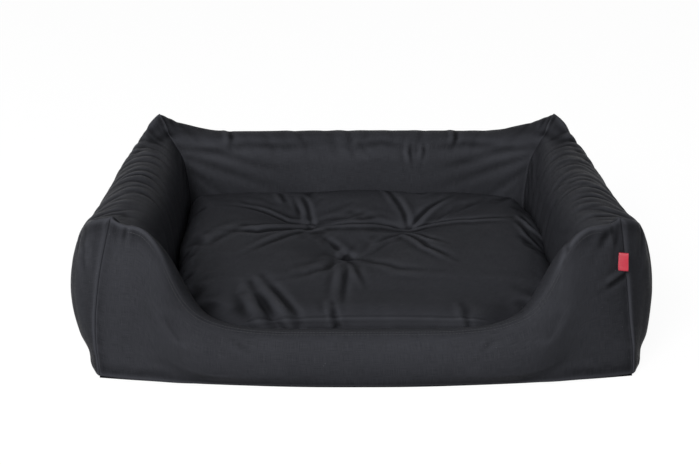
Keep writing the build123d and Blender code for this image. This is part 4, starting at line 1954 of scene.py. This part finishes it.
@dataclass(frozen=True)
class SideLabel:
    """The small folded ribbon in the right front seam, left blank.

    The seam's pixels are its upper and lower end. The ribbon stands out along its heading, with a
    share of its length tucked into the seam. Its two layers lie a gap apart and bend aside by the
    flare. A slow wave, with its turns and its start in radians, runs over its width.
    """

    finishes: Finishes
    seam_pixels: tuple[Pixel, Pixel] = ((619.3, 252.5), (619.0, 270.5))
    heading: tuple[float, float] = (0.93, -0.36)
    length: float = 11.0 * MM
    tucked_share: float = 0.25
    gap: float = 0.9 * MM
    flare: float = 1.2 * MM
    wave: float = 0.5 * MM
    wave_turns: float = 5.0
    wave_start: float = 0.6
    thickness: float = 0.3 * MM
    rows: int = 12
    layer_points: int = 10
    fold_points: int = 7

    def profile(self) -> np.ndarray:
        """The ribbon's section: out along one layer, round the fold and back along the other.

        Returns:
            Rows of how far out and how far aside.
        """
        runs = np.linspace(-self.tucked_share, 1.0, self.layer_points) * self.length
        layer = [(s, self.gap / 2 + self.flare * (s / self.length) ** 2) for s in runs]
        fold = [(self.length + self.gap / 2 * math.cos(a), self.flare + self.gap / 2 * math.sin(a))
                for a in np.linspace(math.pi / 2, -math.pi / 2, self.fold_points)[1:-1]]
        return np.array([*layer, *fold, *((s, h - self.gap) for s, h in reversed(layer))])

    def build(self, wall: Object) -> None:
        """Builds the ribbon on the finished front wall.

        Args:
            wall: the wall that it is sewn to.
        """
        cloth = tree_of(wall.data)
        top, foot = (np.array(cloth.ray_cast(Vector(VIEW.eye), VIEW.toward(p))[0]) for p in self.seam_pixels)
        tall = float(np.linalg.norm(top - foot))
        out = np.array((*self.heading, 0.0)) / math.hypot(*self.heading)
        aside = np.cross(UP, out)
        profile = self.profile()
        run = run_along(profile)
        points = []
        for share in np.linspace(0.0, 1.0, self.rows + 1):
            seam = foot + (top - foot) * share
            wave = self.wave * math.sin(share * self.wave_turns + self.wave_start)
            points += [seam + out * s + aside * (h + wave * max(s, 0.0) / self.length) for s, h in profile]
        wide = len(profile)
        faces = [(r * wide + k, r * wide + k + 1, (r + 1) * wide + k + 1, (r + 1) * wide + k)
                 for r in range(self.rows) for k in range(wide - 1)]
        coords = np.array([(run[i % wide], (i // wide) / self.rows * tall) for f in faces for i in f])
        ribbon = mesh_piece("side_ribbon", np.array(points), faces, coords)
        applied(ribbon, "SOLIDIFY", thickness=self.thickness, offset=0.0)
        ribbon.data.shade_smooth()
        dressed(ribbon, "bed", "label_fabric", self.finishes.label, "side_label")


@dataclass(frozen=True)
class SillStitches:
    """Two rows of topstitching along the scooped edge of the front wall."""

    finishes: Finishes
    distances: tuple[float, float] = (4.5 * MM, 9.0 * MM)
    lift: float = 0.12 * MM
    smooth_rounds: int = 4

    def build(self, front: WallPiece) -> None:
        """Sews the rows.

        Args:
            front: the finished front wall.
        """
        for number, below in enumerate(self.distances):
            line = [[np.interp(below, run_along(column), axis) for axis in column.T]
                    for column in front.edge_columns]
            line = on_surface(front.obj, PLAN.settled(np.array(line)), self.lift)
            StitchRow(self.finishes, f"sill_stitches_{number}").sew(smoothed(line, self.smooth_rounds))


@dataclass(frozen=True)
class Softbox:
    """A square soft light: where it hangs, what it points at, its side's length and its power."""

    name: str
    place: Point
    target: Point
    size: float
    watts: float

    def hang(self) -> None:
        """Hangs the light."""
        data = bpy.data.lights.new(self.name, "AREA")
        data.size = self.size
        data.energy = self.watts
        light = bpy.data.objects.new(self.name, data)
        light.location = self.place
        toward = Vector(self.target) - Vector(self.place)
        light.rotation_euler = toward.to_track_quat("-Z", "Y").to_euler()
        bpy.context.scene.collection.objects.link(light)


@dataclass(frozen=True)
class Studio:
    """The camera, the pale floor and the soft lights.

    The floor glows, where it is seen, at its glow and by a share of its look.
    """

    floor_size: float = 14.0
    floor_glow: float = 1.17
    floor_share: float = 0.80
    fill_light: float = 0.26
    paper: Rgb = (0.55, 0.55, 0.55)
    white: Rgb = (1.0, 1.0, 1.0)
    lights: tuple[Softbox, ...] = (
        Softbox("front_softbox", (-1.55, -3.84, 2.85), (0.0, 0.0, 0.05), 2.2, 180.0),
        Softbox("left_softbox", (-3.0, -1.6, 1.0), (0.0, 0.0, 0.1), 1.2, 28.0),
    )

    def place_camera(self) -> None:
        """Makes the scene's camera at the photograph's viewing angle."""
        data = bpy.data.cameras.new("camera")
        data.sensor_fit = "HORIZONTAL"
        data.sensor_width = SENSOR_WIDTH_MM
        data.lens = VIEW.lens_mm
        camera = bpy.data.objects.new("camera", data)
        camera.location = VIEW.eye
        camera.rotation_euler = VIEW.turn()
        bpy.context.scene.collection.objects.link(camera)
        bpy.context.scene.camera = camera

    @staticmethod
    def seen(graph: Graph) -> Socket:
        """Tells the rays that show the background: the camera's, and those mirrored or let through.

        Args:
            graph: the graph that it is for.

        Returns:
            1 for such rays and 0 for others.
        """
        path = graph.add("ShaderNodeLightPath").outputs
        either = graph.math("MAXIMUM", path["Is Camera Ray"], path["Is Glossy Ray"])
        return graph.math("MAXIMUM", either, path["Is Transmission Ray"])

    def lay_floor(self) -> None:
        """Makes the floor: white where it is seen, with the object's faint shadow on it."""
        floor = primitive("studio_floor", bpy.ops.mesh.primitive_plane_add, size=self.floor_size)
        material, graph = new_material("studio_paper")
        paper = graph.add("ShaderNodeBsdfDiffuse", {"Color": (*self.paper, 1.0)})
        glow = graph.add("ShaderNodeEmission", {"Color": (*self.white, 1.0), "Strength": self.floor_glow})
        share = graph.math("MULTIPLY", self.seen(graph), self.floor_share)
        both = graph.add("ShaderNodeMixShader", {0: share, 1: paper.outputs[0], 2: glow.outputs[0]})
        graph.add("ShaderNodeOutputMaterial", {"Surface": both.outputs[0]})
        floor.data.materials.append(material)

    def light_world(self) -> None:
        """Makes the world: white where it is seen, and an even fill light elsewhere."""
        world = bpy.data.worlds.new("studio")
        world.use_nodes = True
        bpy.context.scene.world = world
        graph = Graph(world.node_tree)
        graph.tree.nodes.clear()
        seen = self.seen(graph)
        lit = graph.math("MULTIPLY", graph.math("SUBTRACT", 1.0, seen), self.fill_light)
        strength = graph.math("ADD", seen, lit)
        sky = graph.add("ShaderNodeBackground", {"Color": (*self.white, 1.0), "Strength": strength})
        graph.add("ShaderNodeOutputWorld", {"Surface": sky.outputs[0]})

    def build(self) -> None:
        """Sets the whole studio up."""
        bpy.context.scene.view_settings.view_transform = "Standard"
        self.place_camera()
        self.lay_floor()
        self.light_world()
        for light in self.lights:
            light.hang()


CUSHION_FOLDS = (
    SeenFold(((309, 227), (298, 210), (292, 197)), 2.8, 2.1, 0.7, (0.9, 0.1)),
    SeenFold(((312, 226), (307, 206), (300, 193)), 2.6, 1.7, 0.6, (0.9, 0.1)),
    SeenFold(((306, 228), (284, 229), (258, 231), (233, 230)), 5.5, 4.0, 0.9, (0.8, 0.1)),
    SeenFold(((304, 226), (288, 222), (262, 211), (237, 206)), 4.5, 2.8, 0.8, (0.7, 0.1)),
    SeenFold(((233, 230), (219, 237), (206, 246)), 8.0, 2.0, 0.6, (0.6, 0.1)),
    SeenFold(((305, 231), (280, 238), (252, 250)), 4.5, 2.0, 0.6, (0.8, 0.1)),
    SeenFold(((309, 229), (326, 226), (343, 224), (360, 223), (377, 224), (394, 227), (408, 231)),
             6.0, 3.6, 0.9, (0.7, 0.7)),
    SeenFold(((410, 228), (417, 219), (428, 208), (446, 198)), 3.6, 2.5, 0.7, (0.9, 0.1)),
    SeenFold(((407, 227), (404, 214), (398, 202), (394, 196)), 3.6, 2.0, 0.7, (0.8, 0.1)),
    SeenFold(((412, 231), (426, 225), (446, 221), (472, 219), (508, 217)), 5.0, 3.2, 0.9, (0.8, 0.1)),
    SeenFold(((413, 233), (428, 237), (442, 241)), 3.6, 2.8, 0.8, (0.9, 0.1)),
    SeenFold(((410, 235), (428, 246), (451, 257)), 4.2, 3.0, 0.8, (0.9, 0.1)),
    SeenFold(((346, 261), (345, 276), (343, 292), (343, 304)), 5.0, 2.4, 0.8, (0.9, 0.1)),
    SeenFold(((350, 262), (358, 272), (364, 284)), 3.6, 1.8, 0.6, (0.8, 0.1)),
    SeenFold(((343, 260), (326, 268), (306, 274), (288, 277)), 6.5, 1.9, 0.6, (0.7, 0.1)),
    SeenFold(((352, 259), (374, 262), (400, 268), (430, 270)), 6.5, 1.8, 0.6, (0.7, 0.1)),
    SeenFold(((347, 258), (334, 246), (320, 236)), 4.0, 1.8, 0.6, (0.8, 0.1)),
    SeenFold(((268, 282), (280, 294), (293, 309), (300, 325)), 6.0, 4.2, 0.8, (0.2, 0.9)),
    SeenFold(((256, 291), (264, 304), (271, 316), (277, 326)), 7.5, 6.5, 0.7, (0.2, 1.0)),
    SeenFold(((333, 306), (335, 315), (338, 326)), 4.0, 4.0, 0.8, (0.2, 1.0)),
    SeenFold(((463, 307), (467, 316), (470, 325)), 3.6, 2.6, 0.8, (0.2, 1.0)),
    SeenFold(((527, 221), (534, 229), (543, 239)), 5.0, 5.0, 0.9, (0.4, 0.9)),
    SeenFold(((522, 226), (529, 235), (537, 243)), 3.5, 2.4, 0.6, (0.3, 0.6)),
    SeenFold(((281, 190), (282, 196), (286, 203)), 4.0, 1.8, 0.5, (0.9, 0.1)),
    SeenFold(((389, 192), (394, 198), (398, 205)), 4.0, 1.8, 0.5, (0.9, 0.1)),
)
REAR_FOLDS = (
    SeenFold(((411, 142), (410, 152), (412, 165)), 3.2, 1.3, 0.6),
    SeenFold(((423, 142), (424, 151), (422, 161)), 3.0, 1.1, 0.6),
    SeenFold(((229, 131), (231, 137), (230, 145)), 3.6, 1.8, 0.6, (0.8, 0.1)),
    SeenFold(((455, 131), (456, 138), (453, 146)), 3.6, 1.8, 0.6, (0.8, 0.1)),
    SeenFold(((214, 150), (246, 144), (284, 146), (320, 143)), 9.0, 1.6, 0.5),
    SeenFold(((352, 146), (382, 142), (404, 146)), 8.0, 1.4, 0.5),
    SeenFold(((432, 148), (466, 143), (500, 146)), 8.0, 1.4, 0.5),
)
FRONT_FOLDS = (
    SeenFold(((116, 219), (124, 223), (134, 225)), 3.4, 2.6, 0.7, (0.9, 0.1)),
    SeenFold(((146, 236), (156, 239), (165, 243)), 3.6, 2.2, 0.6),
    SeenFold(((621, 278), (614, 283), (606, 288)), 3.6, 1.7, 0.7, (0.9, 0.1)),
    SeenFold(((565, 237), (568, 246), (566, 253)), 3.4, 1.8, 0.6),
    SeenFold(((612, 229), (604, 238), (598, 250)), 5.0, 1.2, 0.6),
    SeenFold(((616, 228), (617, 238), (615, 250)), 4.0, 1.2, 0.6),
)


def pucker(count: int, columns: tuple[float, float], rows: tuple[float, float]) -> Gather:
    """Small folds that a mitre seam draws into a wall's cloth.

    Args:
        count: how many.
        columns: where they lie along the wall.
        rows: where they lie across it.

    Returns:
        The folds' gather.
    """
    return Gather(count, columns, rows, width=3.2, depth=0.5, ridge=0.8)


SIDE_GATHERS = (
    Gather(17, (0.10, 0.92), (0.28, 0.62), lean=0.045, bow=0.022, width=7.0, depth=2.0, ridge=0.6),
    Gather(12, (0.10, 0.90), (0.36, 0.64), lean=-0.03, bow=0.016, width=4.5, depth=1.1, ridge=0.6),
    Gather(6, (0.06, 0.24), (0.34, 0.58), lean=0.05, bow=0.01, width=4.5, depth=1.2, ridge=0.6),
    Gather(9, (0.05, 0.95), (0.05, 0.40), lean=0.03, bow=0.01, width=9.0, depth=1.1, ridge=0.5),
    Gather(8, (0.05, 0.95), (0.60, 0.95), lean=0.02, bow=0.01, width=8.0, depth=0.8, ridge=0.5),
)
REAR_GATHERS = (
    Gather(11, (0.05, 0.95), (0.42, 0.66), lean=0.01, width=7.0, depth=0.8, ridge=0.7),
    pucker(2, (0.02, 0.10), (0.42, 0.58)),
    pucker(2, (0.90, 0.98), (0.42, 0.58)),
    Gather(8, (0.1, 0.9), (0.10, 0.40), lean=0.02, width=9.0, depth=1.2, ridge=0.6),
)
FRONT_GATHERS = (
    pucker(1, (0.03, 0.08), (0.44, 0.53)),
    pucker(1, (0.92, 0.97), (0.44, 0.53)),
)


def walls_of_the_bed() -> dict[Wall, WallPiece]:
    """The four walls, each with its stuffing and its folds.

    Returns:
        The walls, not yet wrapped.
    """
    front = Stuffing(pressure=2.0, slack=0.004, cap=4 * MM, fill=0.85)
    rear = Stuffing(pressure=2.0, slack=0.018, cap=6 * MM, fill=0.8)
    side = Stuffing(pressure=2.0, slack=0.06, cap=7 * MM, fill=0.75)
    walls = (
        WallPiece(wall=Wall.FRONT, stuffing=front, gathers=FRONT_GATHERS, seen=FRONT_FOLDS),
        WallPiece(wall=Wall.REAR, stuffing=rear, gathers=REAR_GATHERS, seen=REAR_FOLDS),
        WallPiece(wall=Wall.LEFT, stuffing=side, gathers=SIDE_GATHERS),
        WallPiece(wall=Wall.RIGHT, stuffing=side, gathers=SIDE_GATHERS),
    )
    return {piece.wall: piece for piece in walls}


def main() -> None:
    """Builds the bed's pieces in order around the frame."""
    logging.basicConfig(level=logging.INFO, format="%(message)s")
    Studio().build()
    finishes = Finishes.built()
    walls = walls_of_the_bed()
    floor = WellFloor(stuffing=Stuffing(pressure=1.0, slack=0.01, cap=3 * MM, fill=0.6))
    cushion = CushionPiece(stuffing=Stuffing(pressure=2.5, slack=0.045, cap=8 * MM, fill=0.7),
                           seen=CUSHION_FOLDS)
    pieces: list[SoftPiece] = [*walls.values(), floor, cushion]
    for piece in pieces:
        piece.wrap()
        LOG.info("%s wrapped: %d points", piece.name, len(piece.obj.data.vertices))
    swell(pieces)
    for piece in pieces:
        piece.finish_mesh()
        piece.dress(finishes.cushion if piece is cushion else finishes.shell)
    SillStitches(finishes).build(walls[Wall.FRONT])
    SideLabel(finishes).build(walls[Wall.FRONT].obj)
    TuftKnots(finishes).build(cushion)
    BaseCover(finishes).build()
    RearBand(finishes).build()
    for kind in ("bed", "cushion"):
        Zip(finishes, kind).build()


if __name__ == "__main__":
    main()
